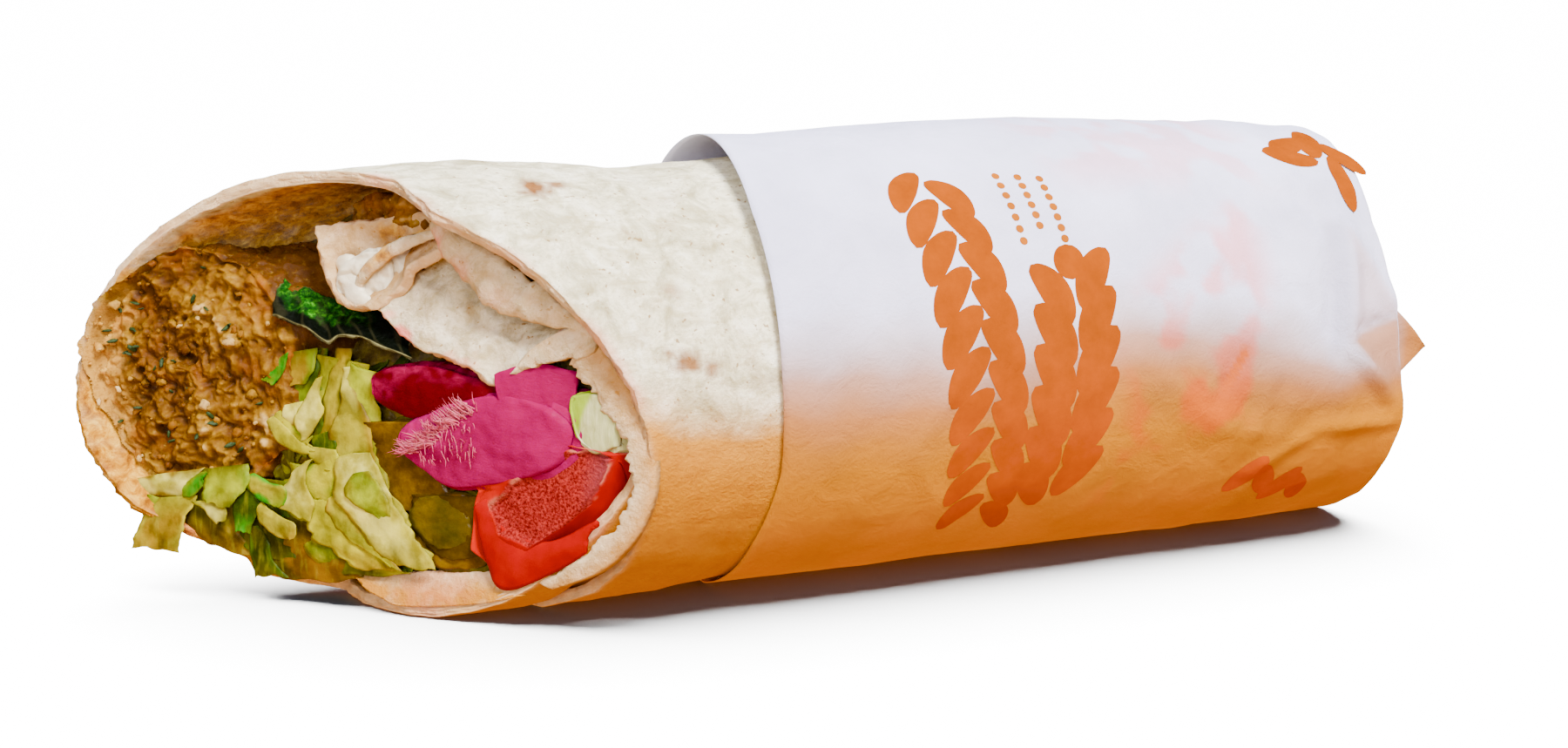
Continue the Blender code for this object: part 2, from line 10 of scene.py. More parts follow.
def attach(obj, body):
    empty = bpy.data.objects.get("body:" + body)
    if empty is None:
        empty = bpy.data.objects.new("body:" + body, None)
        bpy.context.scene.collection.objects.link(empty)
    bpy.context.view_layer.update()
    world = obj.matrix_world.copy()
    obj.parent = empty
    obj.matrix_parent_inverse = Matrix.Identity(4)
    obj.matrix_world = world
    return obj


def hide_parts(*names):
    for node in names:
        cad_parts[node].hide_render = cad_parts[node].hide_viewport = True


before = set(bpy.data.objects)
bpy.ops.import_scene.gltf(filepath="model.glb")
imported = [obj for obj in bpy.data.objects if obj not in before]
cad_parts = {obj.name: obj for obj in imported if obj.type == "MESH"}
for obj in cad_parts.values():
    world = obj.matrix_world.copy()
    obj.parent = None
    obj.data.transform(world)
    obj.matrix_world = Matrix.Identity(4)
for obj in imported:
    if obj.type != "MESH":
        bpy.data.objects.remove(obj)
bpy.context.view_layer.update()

# Half a falafel wrap, cut on the bias, in its paper sleeve. Lengths are in mm until make_object scales them.
# Angles are degrees round the roll: 0 is the far side, 90 the top, 180 the near side. A point on the cut is
# (y, z, depth), where depth is how far it lies behind the cut plane: a smaller depth is nearer the viewer.
MM = 0.001
OFFSET = np.array((-1.679, 0.083, 0.0))     # layout to the part's origin

# ---------------------------------------------------------------- layout, as the solids have it

CUT_X = -68.0           # x + y on the cut plane
CUT_FACING = (-0.7, -0.7, 0.1)

# Flatbread: its thickness, the gap between its layers, and the angles where the sheet starts and ends
BREAD_T = 1.8
LAYER_GAP = 0.3
BREAD_END_X = 87.0
ROLL_START, ROLL_END = 112.0, 628.0
BREAD_RADIUS = 33.0
BREAD_MM_PER_DEGREE = 0.575
FLAT_SINK = 0.9         # how far the round section reaches below the table, where it is flattened
# Along x: half width, top and floor of the roll
BREAD_HALF_WIDTH = ((-110, 33.0), (-40, 33.0), (-16, 33.1), (10, 33.1), (60, 32.4), (88, 31.4))
BREAD_TOP = ((-110, 62.4), (-75, 63.4), (-60, 64.3), (-50, 64.7), (-38, 64.0), (-28, 62.8), (-14, 63.6),
             (5, 65.4), (20, 67.0), (40, 67.6), (60, 66.8), (88, 65.4))
BREAD_FLOOR = ((-26, 0.0), (-18.5, 1.0))
# Round the roll: how far the rim stands behind the cut plane
RIM = ((112, 1.0), (140, 0.0), (180, 0.5), (200, 0.5), (230, 0.0), (262, 0.5), (274, 4.0), (287, 10.5),
       (298, 5.0), (307, 3.6), (315, 1.3), (322, -1.0), (342, -1.3), (362, -0.2), (371, 0.6), (399, 0.3),
       (423, 0.3), (440, -1.4), (453, -2.0), (466, -4.1), (484, -10.2), (494, -8.8), (513, -5.8),
       (533, -2.1), (551, 0.9), (574, 5.5), (600, 13.1), (628, 19.0))
# The flaps and the leaf: rows of points on the cut
FLAP_B = (((-3.9, 44.4, 0), (-7.6, 39.9, 0), (-13.7, 37.4, -0.5), (-17.4, 34.6, 0), (-18.8, 37.9, 1),
           (-21.9, 42.1, 1), (-26.7, 43.2, 1.5)),
          ((-5.0, 48.3, 3), (-9.1, 45.4, 2), (-12.6, 42.6, 3), (-15.5, 40.6, 4), (-17.0, 41.4, 5),
           (-20.6, 43.2, 5), (-26.3, 44.0, 5)),
          ((-4.6, 53.0, 11), (-8.4, 49.9, 11), (-11.5, 47.6, 12), (-14.9, 46.2, 12), (-17.2, 45.4, 12),
           (-20.4, 45.2, 11), (-25.6, 45.2, 9)))
FLAP_A = (((5.6, 55.1, 3), (2.6, 55.6, 4), (-1.4, 56.3, 5), (-6.6, 57.4, 6), (-11.6, 56.2, 7)),
          ((3.9, 50.5, 2), (3.1, 50.4, 5), (-1.3, 52.1, 6), (-6.6, 55.2, 5.5), (-11.8, 56.1, 5)),
          ((0.4, 45.6, 0), (0.0, 46.4, 3), (-3.6, 50.3, 3), (-7.8, 53.7, 3), (-12.0, 56.0, 3)),
          ((-4.4, 44.5, -1), (-6.0, 47.1, -1), (-8.6, 50.8, -1), (-10.6, 53.3, 0), (-12.2, 55.9, 1)))
LEAF = (((8.6, 42.6, 0), (5.3, 41.5, 0), (1.5, 39.6, -1), (-0.2, 40.5, 0), (-4.6, 39.4, -1), (-7.4, 37.6, 0)),
        ((10.4, 45.2, 3), (7.4, 43.4, 3), (4.3, 41.6, 3), (2.0, 42.4, 3), (-1.8, 41.0, 2), (-5.4, 39.2, 2)),
        ((11.9, 47.1, 6), (9.4, 45.6, 7), (7.1, 44.5, 8), (4.6, 44.3, 8), (0.5, 43.6, 6), (-3.2, 41.8, 6)))

# Paper: half width and top along x, both ends' x round the roll, and the middle of the folded end
PAPER_RADIUS = 34.0
PAPER_MM_PER_DEGREE = 0.6
PAPER_HALF_WIDTH = ((-17, 34.5), (10, 34.5), (50, 34.1), (80, 33.6), (92, 33.0), (104, 32.4))
PAPER_TOP = ((-17, 67.9), (-4, 67.6), (8, 68.3), (20, 69.0), (42, 69.5), (60, 68.6), (80, 68.0), (104, 66.6))
PAPER_RIM = ((0, -14.0), (58, -13.1), (85, -13.4), (102, -14.3), (119, -15.3), (135, -16.1), (176, -16.1),
             (200, -15.4), (223, -16.7), (245, -17.0), (300, -16.0), (360, -14.0))
PAPER_END = ((0, 96.0), (60, 97.5), (100, 97.0), (124, 94.8), (145, 92.8), (162, 93.8), (182, 95.3),
             (206, 99.3), (218, 99.6), (237, 101.2), (270, 101.0), (320, 98.0), (360, 96.0))
PAPER_CENTRE = (-3.0, 33.0, 97.0)

# Fillings as rounded blocks: centre and half sizes on the cut, turn in degrees, squareness, depth of the
# front and of the back, bulge of the front, seed of the uneven outline
Chunk = namedtuple("Chunk", "centre half turn power front back bulge seed")
CHUNKS = {
    "falafel_1": Chunk((20.6, 34.3), (12.9, 17.6), -8, 2.3, 1.6, 22.0, 2.6, 3),
    "falafel_2": Chunk((-1.5, 55.6), (7.6, 5.0), 4, 2.3, 8.5, 22.0, 2.0, 8),
    "falafel_3": Chunk((2.6, 48.6), (5.2, 5.6), 0, 2.2, 10.5, 24.0, 2.0, 12),
    "tomato": Chunk((-21.8, 16.0), (8.8, 11.3), 12, 2.6, 0.4, 14.0, 1.6, 5),
    "turnip_2": Chunk((-15.6, 26.6), (9.6, 6.6), -18, 2.3, -0.4, 9.0, 1.6, 6),
    "turnip_1": Chunk((-9.6, 32.3), (8.6, 4.4), 10, 2.2, 1.2, 10.0, 1.4, 7),
    "green_pepper": Chunk((-26.3, 30.2), (2.6, 4.5), -12, 2.8, 1.0, 10.0, 0.4, 9),
    "pickle_1": Chunk((-5.4, 22.4), (4.8, 6.8), 12, 2.3, 2.0, 5.5, 0.3, 10),
    "pickle_2": Chunk((-10.6, 12.9), (5.2, 6.0), 20, 2.2, 1.4, 5.0, 0.3, 11),
    "sauce": Chunk((-1.2, 48.3), (3.2, 4.3), 24, 2.0, 1.4, 6.0, 0.8, 14),
}
HEAP_FRONT = 6.0


# ---------------------------------------------------------------- numbers

def table(rows, value):
    """Reads a table of (place, value) rows."""
    return np.interp(value, [row[0] for row in rows], [row[1] for row in rows])


def smooth(low, high, value):
    """0 below low, 1 above high and an even S between."""
    t = np.clip((np.asarray(value, float) - low) / (high - low), 0.0, 1.0)
    return t * t * (3.0 - 2.0 * t)


def perlin(points, scale, seed):
    """Smooth noise, about -1 to 1, at each point of an array (..., 3) in mm."""
    flat = np.asarray(points, float).reshape(-1, 3) / scale + seed * 11.7
    out = np.fromiter((noise.noise(p) for p in flat.tolist()), float, len(flat))
    return out.reshape(np.shape(points)[:-1])


def cells(points, scale, seed):
    """How much further the second nearest cell centre is than the nearest, and a number for the cell."""
    flat = np.asarray(points, float).reshape(-1, 3) / scale + seed * 5.3
    gap = np.empty(len(flat))
    tone = np.empty(len(flat))
    for i, p in enumerate(flat.tolist()):
        dist, centre = noise.voronoi(p, distance_metric="DISTANCE", exponent=2.5)
        gap[i] = dist[1] - dist[0]
        tone[i] = noise.cell(centre[0] * 7.1)
    shape = np.shape(points)[:-1]
    return gap.reshape(shape), tone.reshape(shape)


def points_of(x, y, z):
    """Points from coordinates of any matching shapes."""
    return np.stack(np.broadcast_arrays(x, y, z), axis=-1).astype(float)


def cut_point(y, z, depth):
    """Points on the cut, as x, y, z."""
    return points_of(CUT_X - y + depth, y, z)


def spline(points, count):
    """A smooth line of count points through the given ones."""
    points = np.asarray(points, float)
    last = len(points) - 1
    t = np.linspace(0, last, count)
    i = np.minimum(t.astype(int), last - 1)
    u = (t - i).reshape(-1, *([1] * (points.ndim - 1)))
    p0, p1 = points[np.maximum(i - 1, 0)], points[i]
    p2, p3 = points[i + 1], points[np.minimum(i + 2, last)]
    return 0.5 * (2 * p1 + (p2 - p0) * u + (2 * p0 - 5 * p1 + 4 * p2 - p3) * u * u
                  + (3 * p1 - p0 - 3 * p2 + p3) * u ** 3)


def around(x, angle, radius):
    """Points on a plain cylinder, where the noise of a rolled surface is read."""
    turn = np.radians(angle)
    return points_of(x, radius * np.cos(turn), radius * np.sin(turn))


def normals_of(grid):
    normal = np.cross(np.gradient(grid, axis=0), np.gradient(grid, axis=1))
    size = np.linalg.norm(normal, axis=2, keepdims=True)
    return normal / np.maximum(size, 1e-9)


def inside_distance(points, outline):
    """Signed distance in mm to a closed (y, z) outline, positive inside."""
    corners = np.array(outline)
    y, z = points[..., 1], points[..., 2]
    best = np.full(y.shape, 1e9)
    inside = np.zeros(y.shape, bool)
    for (y0, z0), (y1, z1) in zip(corners, np.roll(corners, -1, axis=0)):
        dy, dz = y1 - y0, z1 - z0
        t = np.clip(((y - y0) * dy + (z - z0) * dz) / (dy * dy + dz * dz), 0, 1)
        best = np.minimum(best, np.hypot(y - y0 - t * dy, z - z0 - t * dz))
        cross = (z0 > z) != (z1 > z)
        inside ^= cross & (y < y0 + (z - z0) * dy / np.where(dz == 0, 1e-9, dz))
    return np.where(inside, best, -best)


# ---------------------------------------------------------------- meshes

def place(name, data):
    obj = bpy.data.objects.new(name, data)
    bpy.context.scene.collection.objects.link(obj)
    return obj


def make_object(name, points, faces, material, node, slot, **values):
    """A piece from mm points; values are per-point numbers or colours for its material."""
    mesh = bpy.data.meshes.new(name)
    verts = (np.asarray(points, float).reshape(-1, 3) + OFFSET) * MM
    mesh.from_pydata(verts.tolist(), [], faces)
    mesh.validate()
    for key, value in values.items():
        value = np.asarray(value, float)
        if value.ndim == 2:
            layer = mesh.attributes.new(key, "FLOAT_COLOR", "POINT")
            rgba = np.ones((len(verts), 4))
            rgba[:, :3] = value
            layer.data.foreach_set("color", rgba.ravel())
        else:
            layer = mesh.attributes.new(key, "FLOAT", "POINT")
            layer.data.foreach_set("value", value.ravel())
    mesh.shade_smooth()
    mesh.materials.append(material)
    obj = place(name, mesh)
    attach(obj, "root")
    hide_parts(node)


def strip_faces(rows, cols, start=0, wrap_rows=False, wrap_cols=False, flip=False):
    """Quads between the points of a grid."""
    i = np.arange(rows if wrap_rows else rows - 1)
    j = np.arange(cols if wrap_cols else cols - 1)
    a, b = np.meshgrid(i, j, indexing="ij")
    a2, b2 = (a + 1) % rows, (b + 1) % cols
    quads = np.stack((a * cols + b, a2 * cols + b, a2 * cols + b2, a * cols + b2), -1).reshape(-1, 4) + start
    return (quads[:, ::-1] if flip else quads).tolist()


def closed_faces(rows, cols):
    """Faces of a tube of rings that is closed at both ends."""
    last = (rows - 1) * cols
    return strip_faces(rows, cols, wrap_cols=True) + [list(range(cols)), list(range(last, last + cols))[::-1]]


def border_of(rows, cols):
    """Point numbers round the outside of a grid."""
    border = [i * cols for i in range(rows)] + [(rows - 1) * cols + j for j in range(1, cols)]
    return border + [i * cols + cols - 1 for i in range(rows - 2, -1, -1)] + list(range(cols - 2, 0, -1))


def two_sided(front, back):
    """Points and faces of a thin closed piece between two grids of the same size."""
    rows, cols = front.shape[:2]
    half = rows * cols
    faces = strip_faces(rows, cols) + strip_faces(rows, cols, half, flip=True)
    border = border_of(rows, cols)
    size = len(border)
    faces += [[border[(k + 1) % size], v, v + half, border[(k + 1) % size] + half]
              for k, v in enumerate(border)]
    return np.concatenate((front.reshape(-1, 3), back.reshape(-1, 3))), faces


class Pile:
    """Collects small meshes with their per-point values into one piece."""

    def __init__(self):
        self.points, self.faces, self.values = [], [], {}
        self.count = 0

    def add(self, points, faces, **values):
        points = np.asarray(points, float).reshape(-1, 3)
        self.points.append(points)
        self.faces += [[v + self.count for v in face] for face in faces]
        for key, value in values.items():
            value = np.asarray(value, float)
            if value.ndim == 0:
                value = np.full(len(points), value)
            self.values.setdefault(key, []).append(value)
        self.count += len(points)

    def build(self, name, material, node, slot):
        merged = {key: np.concatenate(value) for key, value in self.values.items()}
        make_object(name, np.concatenate(self.points), self.faces, material, node, slot, **merged)


def tube(path, radii, steps, count, flat, lumps):
    """A lumpy, tapering, closed tube along points on the cut; lumps are (height, size, seed)."""
    line = spline(cut_point(*np.array(path, float).T), steps)
    radius = spline(np.array(radii, float)[:, None], steps)[:, 0]
    tangent = np.gradient(line, axis=0)
    tangent /= np.linalg.norm(tangent, axis=1, keepdims=True)
    side = np.cross(tangent, CUT_FACING)
    side /= np.linalg.norm(side, axis=1, keepdims=True)
    up = np.cross(side, tangent)
    a = np.linspace(0, 2 * math.pi, count, endpoint=False)
    ring = side[:, None] * np.cos(a)[None, :, None] + flat * up[:, None] * np.sin(a)[None, :, None]
    grid = line[:, None] + ring * radius[:, None, None]
    lump = 1.0 + sum(height * perlin(grid, size, seed) for height, size, seed in lumps)
    return line[:, None] + ring * (radius[:, None] * lump)[..., None], closed_faces(steps, count)


def sheet(pile, rows, thick, seed, ruffle=0.16, ragged=0.08, curl=0.25, widen=1.0, tints=None,
          edge_tint=None, scallop=0.0, **values):
    """A thin piece between two edges; rows across it are (y, z, y, z, depth), from start to end."""
    steps, cols = 44, 13
    line = spline(np.array(rows, float), steps)
    a, b, depth = line[:, 0:2], line[:, 2:4], line[:, 4]
    middle = 0.5 * (a + b)
    a, b = middle + widen * (a - middle), middle + widen * (b - middle)
    t = np.linspace(0, 1, steps)
    u = np.linspace(0, 1, cols)
    length = np.cumsum(np.linalg.norm(np.diff(middle, axis=0, prepend=middle[:1]), axis=1))
    span = (b - a)[:, None]
    width = np.maximum(np.linalg.norm(span, axis=2, keepdims=True), 1e-6)
    path = points_of(length, seed, 0.0)
    first = (ragged * perlin(path, 2.4, 3.0) + 0.4 * ragged * perlin(path, 0.7, 3.5))[:, None]
    second = (ragged * perlin(path, 2.4, 4.0) + 0.4 * ragged * perlin(path, 0.7, 4.5))[:, None]
    share = u[None] + first * (1 - u[None]) ** 2 + second * u[None] ** 2
    flat = a[:, None] + span * share[..., None]
    wave = np.abs(np.sin(length * 1.15 + seed))
    flat = flat + span / width * (scallop * wave[:, None] * u[None] ** 4)[..., None]
    heading = np.gradient(middle, axis=0)
    heading /= np.maximum(np.linalg.norm(heading, axis=1, keepdims=True), 1e-9)
    ends = 0.7 * perlin(points_of(u * 4.0, seed, 0.0), 1.0, 5.0)
    flat = flat + heading[:, None] * (smooth(0.86, 1.0, t)[:, None] * ends[None])[..., None]
    ripple = ruffle * np.sin(length * 0.9 + seed)[:, None] * np.abs(2 * u[None] - 1) ** 1.5
    bow = -curl * (1 - (2 * u[None] - 1) ** 2)
    spot = cut_point(flat[..., 0], flat[..., 1], depth[:, None])
    rough = 0.3 * perlin(spot, 2.6, seed) + 0.12 * perlin(spot, 0.9, seed)
    front = cut_point(flat[..., 0], flat[..., 1], depth[:, None] + ripple + bow + rough)
    normal = normals_of(front)
    if normal[..., 0].mean() > 0:
        normal = -normal
    taper = thick * (1.0 - 0.6 * np.abs(2 * u[None] - 1) ** 3) * np.ones((steps, 1))
    points, faces = two_sided(front, front - normal * taper[..., None])
    if tints is not None:
        stops = np.array(tints)
        tint = np.stack([np.interp(t, (0, 0.5, 1), stops[:, c]) for c in range(3)], -1)
        tint = np.repeat(tint[:, None], cols, axis=1)
        rim = smooth(0.5, 1.0, np.abs(2 * u[None] - 1) + 0.5 * perlin(front, 2.0, seed + 3))[..., None]
        tint = tint * (1 - rim) + np.array(edge_tint) * rim
        grain = points_of(u[None] * width[..., 0], 0.22 * length[:, None], seed)
        shade = 1.0 + 0.45 * perlin(front, 4.0, seed + 2) + 0.4 * perlin(grain, 0.9, seed + 4)
        tint = np.clip(tint * shade[..., None], 0, 1)
        values["tint"] = np.concatenate((tint.reshape(-1, 3), tint.reshape(-1, 3)))
    pile.add(points, faces, **values)


# ---------------------------------------------------------------- materials

def fill_ramp(ramp, stops):
    """Sets a colour ramp to (place, colour or grey) stops."""
    while len(ramp.elements) < len(stops):
        ramp.elements.new(0.5)
    for element, (position, colour) in zip(ramp.elements, stops):
        element.position = position
        colour = (colour, colour, colour) if isinstance(colour, (int, float)) else colour
        element.color = (*colour, 1.0)


class Shader:
    """A short way to write node materials; sizes are in mm of the object's own coordinates."""

    def __init__(self, name, **sockets):
        self.material = bpy.data.materials.new(name)
        self.material.use_nodes = True
        self.tree = self.material.node_tree
        self.bsdf = self.tree.nodes["Principled BSDF"]
        for key, value in sockets.items():
            self.bsdf.inputs[key.replace("_", " ")].default_value = value
        coord = self.node("ShaderNodeTexCoord")
        scale = self.node("ShaderNodeVectorMath", operation="SCALE")
        self.link(coord.outputs["Object"], scale.inputs[0])
        scale.inputs["Scale"].default_value = 1.0 / MM
        self.mm = scale.outputs[0]

    def node(self, kind, **options):
        made = self.tree.nodes.new(kind)
        for key, value in options.items():
            setattr(made, key, value)
        return made

    def link(self, source, target):
        if hasattr(source, "is_output"):
            self.tree.links.new(source, target)
        else:
            target.default_value = source

    def stretch(self, x, y, z):
        made = self.node("ShaderNodeVectorMath", operation="MULTIPLY")
        self.link(self.mm, made.inputs[0])
        made.inputs[1].default_value = (x, y, z)
        return made.outputs[0]

    def noise(self, size, detail=3.0, rough=0.55, distort=0.0, vector=None):
        made = self.node("ShaderNodeTexNoise")
        self.link(vector or self.mm, made.inputs["Vector"])
        made.inputs["Scale"].default_value = 1.0 / size
        made.inputs["Detail"].default_value = detail
        made.inputs["Roughness"].default_value = rough
        made.inputs["Distortion"].default_value = distort
        return made.outputs["Fac"]

    def ramp(self, value, *stops):
        made = self.node("ShaderNodeValToRGB")
        fill_ramp(made.color_ramp, stops)
        self.link(value, made.inputs["Fac"])
        return made.outputs["Color"]

    def mix(self, factor, first, second, mode="MIX"):
        made = self.node("ShaderNodeMix", data_type="RGBA", blend_type=mode)
        for socket, value in ((0, factor), (6, first), (7, second)):
            if isinstance(value, tuple):
                value = (*value, 1.0)
            self.link(value, made.inputs[socket])
        return made.outputs[2]

    def math(self, operation, first, second=0.0, third=0.0):
        made = self.node("ShaderNodeMath", operation=operation)
        for socket, value in zip(made.inputs, (first, second, third)):
            self.link(value, socket)
        return made.outputs[0]

    def attribute(self, name, colour=False):
        made = self.node("ShaderNodeAttribute", attribute_name=name)
        return made.outputs["Color" if colour else "Fac"]

    def bump(self, height, distance, strength=1.0):
        made = self.node("ShaderNodeBump")
        made.inputs["Distance"].default_value = distance * MM
        made.inputs["Strength"].default_value = strength
        self.link(height, made.inputs["Height"])
        return made.outputs["Normal"]

    def out(self, colour=None, rough=None, normal=None):
        for key, value in (("Base Color", colour), ("Roughness", rough), ("Normal", normal)):
            if value is not None:
                if isinstance(value, tuple):
                    value = (*value, 1.0)
                self.link(value, self.bsdf.inputs[key])
        return self.material


def soft(amount, radius_mm, colour):
    """Settings for light that scatters under a surface."""
    return {"Subsurface_Weight": amount, "Subsurface_Scale": radius_mm * MM, "Subsurface_Radius": colour}


def bread_material():
    s = Shader("bread_baked", Roughness=0.62, Specular_IOR_Level=0.03, **soft(0.1, 1.4, (1.0, 0.7, 0.4)))
    mottle = s.noise(5.0, 7.0, 0.7, 0.7)
    fine = s.noise(1.1, 6.0, 0.72)
    base = s.ramp(mottle, (0.32, (0.36, 0.31, 0.18)), (0.43, (0.56, 0.51, 0.35)), (0.53, (0.78, 0.72, 0.53)),
                  (0.66, (0.95, 0.91, 0.76)))
    streak = s.noise(1.6, 5.0, 0.65, 0.4, s.stretch(0.3, 1.0, 1.0))
    base = s.mix(s.ramp(streak, (0.50, 0.0), (0.68, 0.6)), base, (0.44, 0.37, 0.20))
    base = s.mix(s.ramp(fine, (0.36, 0.6), (0.5, 0.0)), base, (0.46, 0.40, 0.23))
    speck = s.ramp(s.noise(0.9, 2.0, 0.5), (0.66, 0.0), (0.72, 0.8))
    base = s.mix(speck, base, (0.26, 0.15, 0.05))
    toast = s.mix(s.noise(1.0, 5.0, 0.7), (0.07, 0.018, 0.003), (0.36, 0.15, 0.04))
    base = s.mix(s.attribute("toast"), base, toast)
    # Below a half this mixes in the bread's own tan; above a half the amber is painted light from the table
    # below
    warm = s.attribute("warm")
    tan = s.mix(mottle, (0.32, 0.11, 0.004), (0.62, 0.29, 0.034))
    low = s.mix(mottle, (0.34, 0.10, 0.0001), (0.54, 0.23, 0.0002))
    base = s.mix(s.math("MINIMUM", s.math("MULTIPLY", warm, 2.0), 1.0), base, tan)
    base = s.mix(s.math("MAXIMUM", s.math("MULTIPLY_ADD", warm, 2.0, -1.0), 0.0), base, low)
    edge = s.mix(s.noise(0.7, 5.0, 0.75), (0.56, 0.32, 0.14), (0.88, 0.64, 0.40))
    base = s.mix(s.attribute("edge"), base, edge)
    stain = s.ramp(s.noise(2.0, 6.0, 0.7, 0.5), (0.36, (0.20, 0.062, 0.0004)), (0.5, (0.46, 0.190, 0.004)),
                   (0.66, (0.76, 0.44, 0.06)))
    base = s.mix(s.attribute("stain"), base, stain)
    base = s.mix(s.attribute("pink"), base, (0.80, 0.20, 0.17))
    height = s.mix(0.45, s.noise(2.4, 5.0, 0.6), s.noise(0.6, 6.0, 0.7))
    return s.out(base, s.ramp(fine, (0.3, 0.42), (0.7, 0.68)), s.bump(height, 0.55, 1.0))


def paper_material():
    s = Shader("greaseproof_paper", Roughness=0.5, Specular_IOR_Level=0.01)
    cloud = s.noise(20.0, 5.0, 0.6)
    # White above, through pink and tan, to amber where the light comes up from the table.
    base = s.ramp(s.attribute("warm"), (0.0, (0.62, 0.62, 0.86)), (0.13, (0.49, 0.42, 0.50)),
                  (0.25, (0.39, 0.22, 0.17)), (0.40, (0.36, 0.145, 0.045)), (0.54, (0.38, 0.145, 0.012)),
                  (0.68, (0.40, 0.148, 0.0001)), (1.0, (0.49, 0.175, 0.0001)))
    base = s.mix(1.0, base, s.ramp(cloud, (0.3, 0.84), (0.7, 1.12)), "MULTIPLY")
    # Painted shade on the shaded facets of the rumpled end; then a reddish tint, from juice through the paper
    # and as painted pink light on a lit facet
    base = s.mix(s.attribute("dull"), base, (0.30, 0.28, 0.38))
    base = s.mix(s.attribute("ghost"), base, (1.25, 0.50, 0.42), "MULTIPLY")
    height = s.mix(0.25, s.noise(4.5, 5.0, 0.6, 1.0), s.noise(0.45, 5.0, 0.65))
    return s.out(base, s.ramp(s.noise(9.0), (0.3, 0.30), (0.7, 0.5)), s.bump(height, 0.6, 0.7))


def print_material(name, dark, light):
    s = Shader(name, Roughness=0.5, Specular_IOR_Level=0.0)
    # Lower on the sleeve the print takes its second colour: painted amber light from the table below
    colour = s.mix(s.attribute("low"), dark, light)
    colour = s.mix(1.0, colour, s.ramp(s.noise(4.0, 5.0, 0.65), (0.3, 0.85), (0.7, 1.12)), "MULTIPLY")
    return s.out(colour, None, s.bump(s.noise(0.5, 3.0), 0.05, 0.4))


def falafel_material():
    s = Shader("falafel_crumb", Roughness=0.45, Specular_IOR_Level=0.08, **soft(0.15, 1.4, (1.0, 0.45, 0.08)))
    fine = s.noise(0.7, 6.0, 0.7)
    # The tone attribute carries painted light on raised crumbs and painted shade in pits and on the hidden
    # sides
    base = s.ramp(s.attribute("tone"), (0.0, (0.032, 0.009, 0.0002)), (0.3, (0.082, 0.027, 0.0003)),
                  (0.55, (0.150, 0.064, 0.001)), (0.8, (0.26, 0.135, 0.007)), (1.0, (0.50, 0.33, 0.11)))
    base = s.mix(s.attribute("crust"), base, (0.20, 0.050, 0.0004))
    base = s.mix(s.attribute("golden"), base, s.mix(fine, (0.34, 0.13, 0.002), (0.74, 0.42, 0.08)))
    base = s.mix(s.ramp(fine, (0.36, 0.4), (0.5, 0.0)), base, (0.075, 0.023, 0.0004))
    base = s.mix(s.ramp(fine, (0.56, 0.0), (0.70, 0.4)), base, (0.31, 0.175, 0.024))
    rough = s.ramp(s.noise(1.3), (0.4, 0.28), (0.62, 0.7))
    return s.out(base, rough, s.bump(s.mix(0.5, fine, s.noise(1.6, 5.0)), 0.45, 0.7))


def speck_material(name, dark, light, rough):
    """For the small things on the falafel: seeds and flecks of herb."""
    size = 0.8
    s = Shader(name, Roughness=rough, Specular_IOR_Level=0.25)
    colour = s.mix(s.noise(size, 4.0, 0.6), dark, light)
    return s.out(colour, None, s.bump(s.noise(size * 0.4, 4.0, 0.6), 0.2, 0.6))


def lettuce_material():
    s = Shader("lettuce_shred", Roughness=0.34, Specular_IOR_Level=0.05, **soft(0.15, 1.0, (0.9, 1.0, 0.2)))
    base = s.attribute("tint", True)
    vein = s.noise(0.9, 3.0, 0.5, 0.4, s.stretch(1.0, 1.0, 0.22))
    base = s.mix(s.ramp(vein, (0.50, 0.0), (0.74, 0.25)), base, (0.38, 0.36, 0.035))
    base = s.mix(s.ramp(s.noise(3.0, 4.0), (0.36, 0.8), (0.56, 0.0)), base, (0.42, 0.40, 0.03), "MULTIPLY")
    return s.out(base, None, s.bump(s.mix(0.5, vein, s.noise(0.5, 4.0)), 0.25, 0.5))


def heap_material():
    s = Shader("heap_shadow", Roughness=0.45, Specular_IOR_Level=0.2)
    # Near-black browns: painted shade for the depths between the shreds
    base = s.ramp(s.noise(2.4, 5.0, 0.6), (0.34, (0.020, 0.008, 0.001)), (0.52, (0.075, 0.045, 0.003)),
                  (0.68, (0.15, 0.11, 0.006)))
    return s.out(base, None, s.bump(s.noise(1.4, 4.0), 0.8, 0.8))


def leaf_material():
    s = Shader("herb_leaf", Roughness=0.55, Specular_IOR_Level=0.04)
    # Painted light: a lit green for the frilled edge
    bright = s.ramp(s.noise(0.9, 6.0, 0.7), (0.36, (0.0008, 0.010, 0.0004)), (0.52, (0.004, 0.060, 0.0012)),
                    (0.68, (0.05, 0.26, 0.006)))
    # Painted shade: the near-black green of the rest of the leaf
    dark = s.mix(s.noise(1.6, 5.0), (0.0001, 0.0004, 0.0001), (0.0008, 0.0022, 0.0002))
    base = s.mix(s.attribute("bright"), dark, bright)
    base = s.mix(s.attribute("vein"), base, (0.22, 0.20, 0.08))
    return s.out(base, None, s.bump(s.noise(0.8, 5.0), 0.5, 0.9))


def turnip_material(name, dark, light, pale):
    s = Shader(name, Roughness=0.24, Specular_IOR_Level=0.02, **soft(0.15, 1.2, (1.0, 0.02, 0.2)))
    grain = s.noise(1.0, 6.0, 0.7, 0.8, s.stretch(0.5, 1.0, 1.4))
    base = s.mix(s.noise(3.6, 4.0), dark, light)
    base = s.mix(s.ramp(grain, (0.58, 0.0), (0.80, 0.1)), base, pale)
    base = s.mix(s.math("MULTIPLY", s.attribute("pale"), s.ramp(grain, (0.36, 0.35), (0.6, 1.0))), base, pale)
    rough = s.ramp(grain, (0.4, 0.14), (0.7, 0.42))
    return s.out(base, rough, s.bump(grain, 0.3, 0.55))


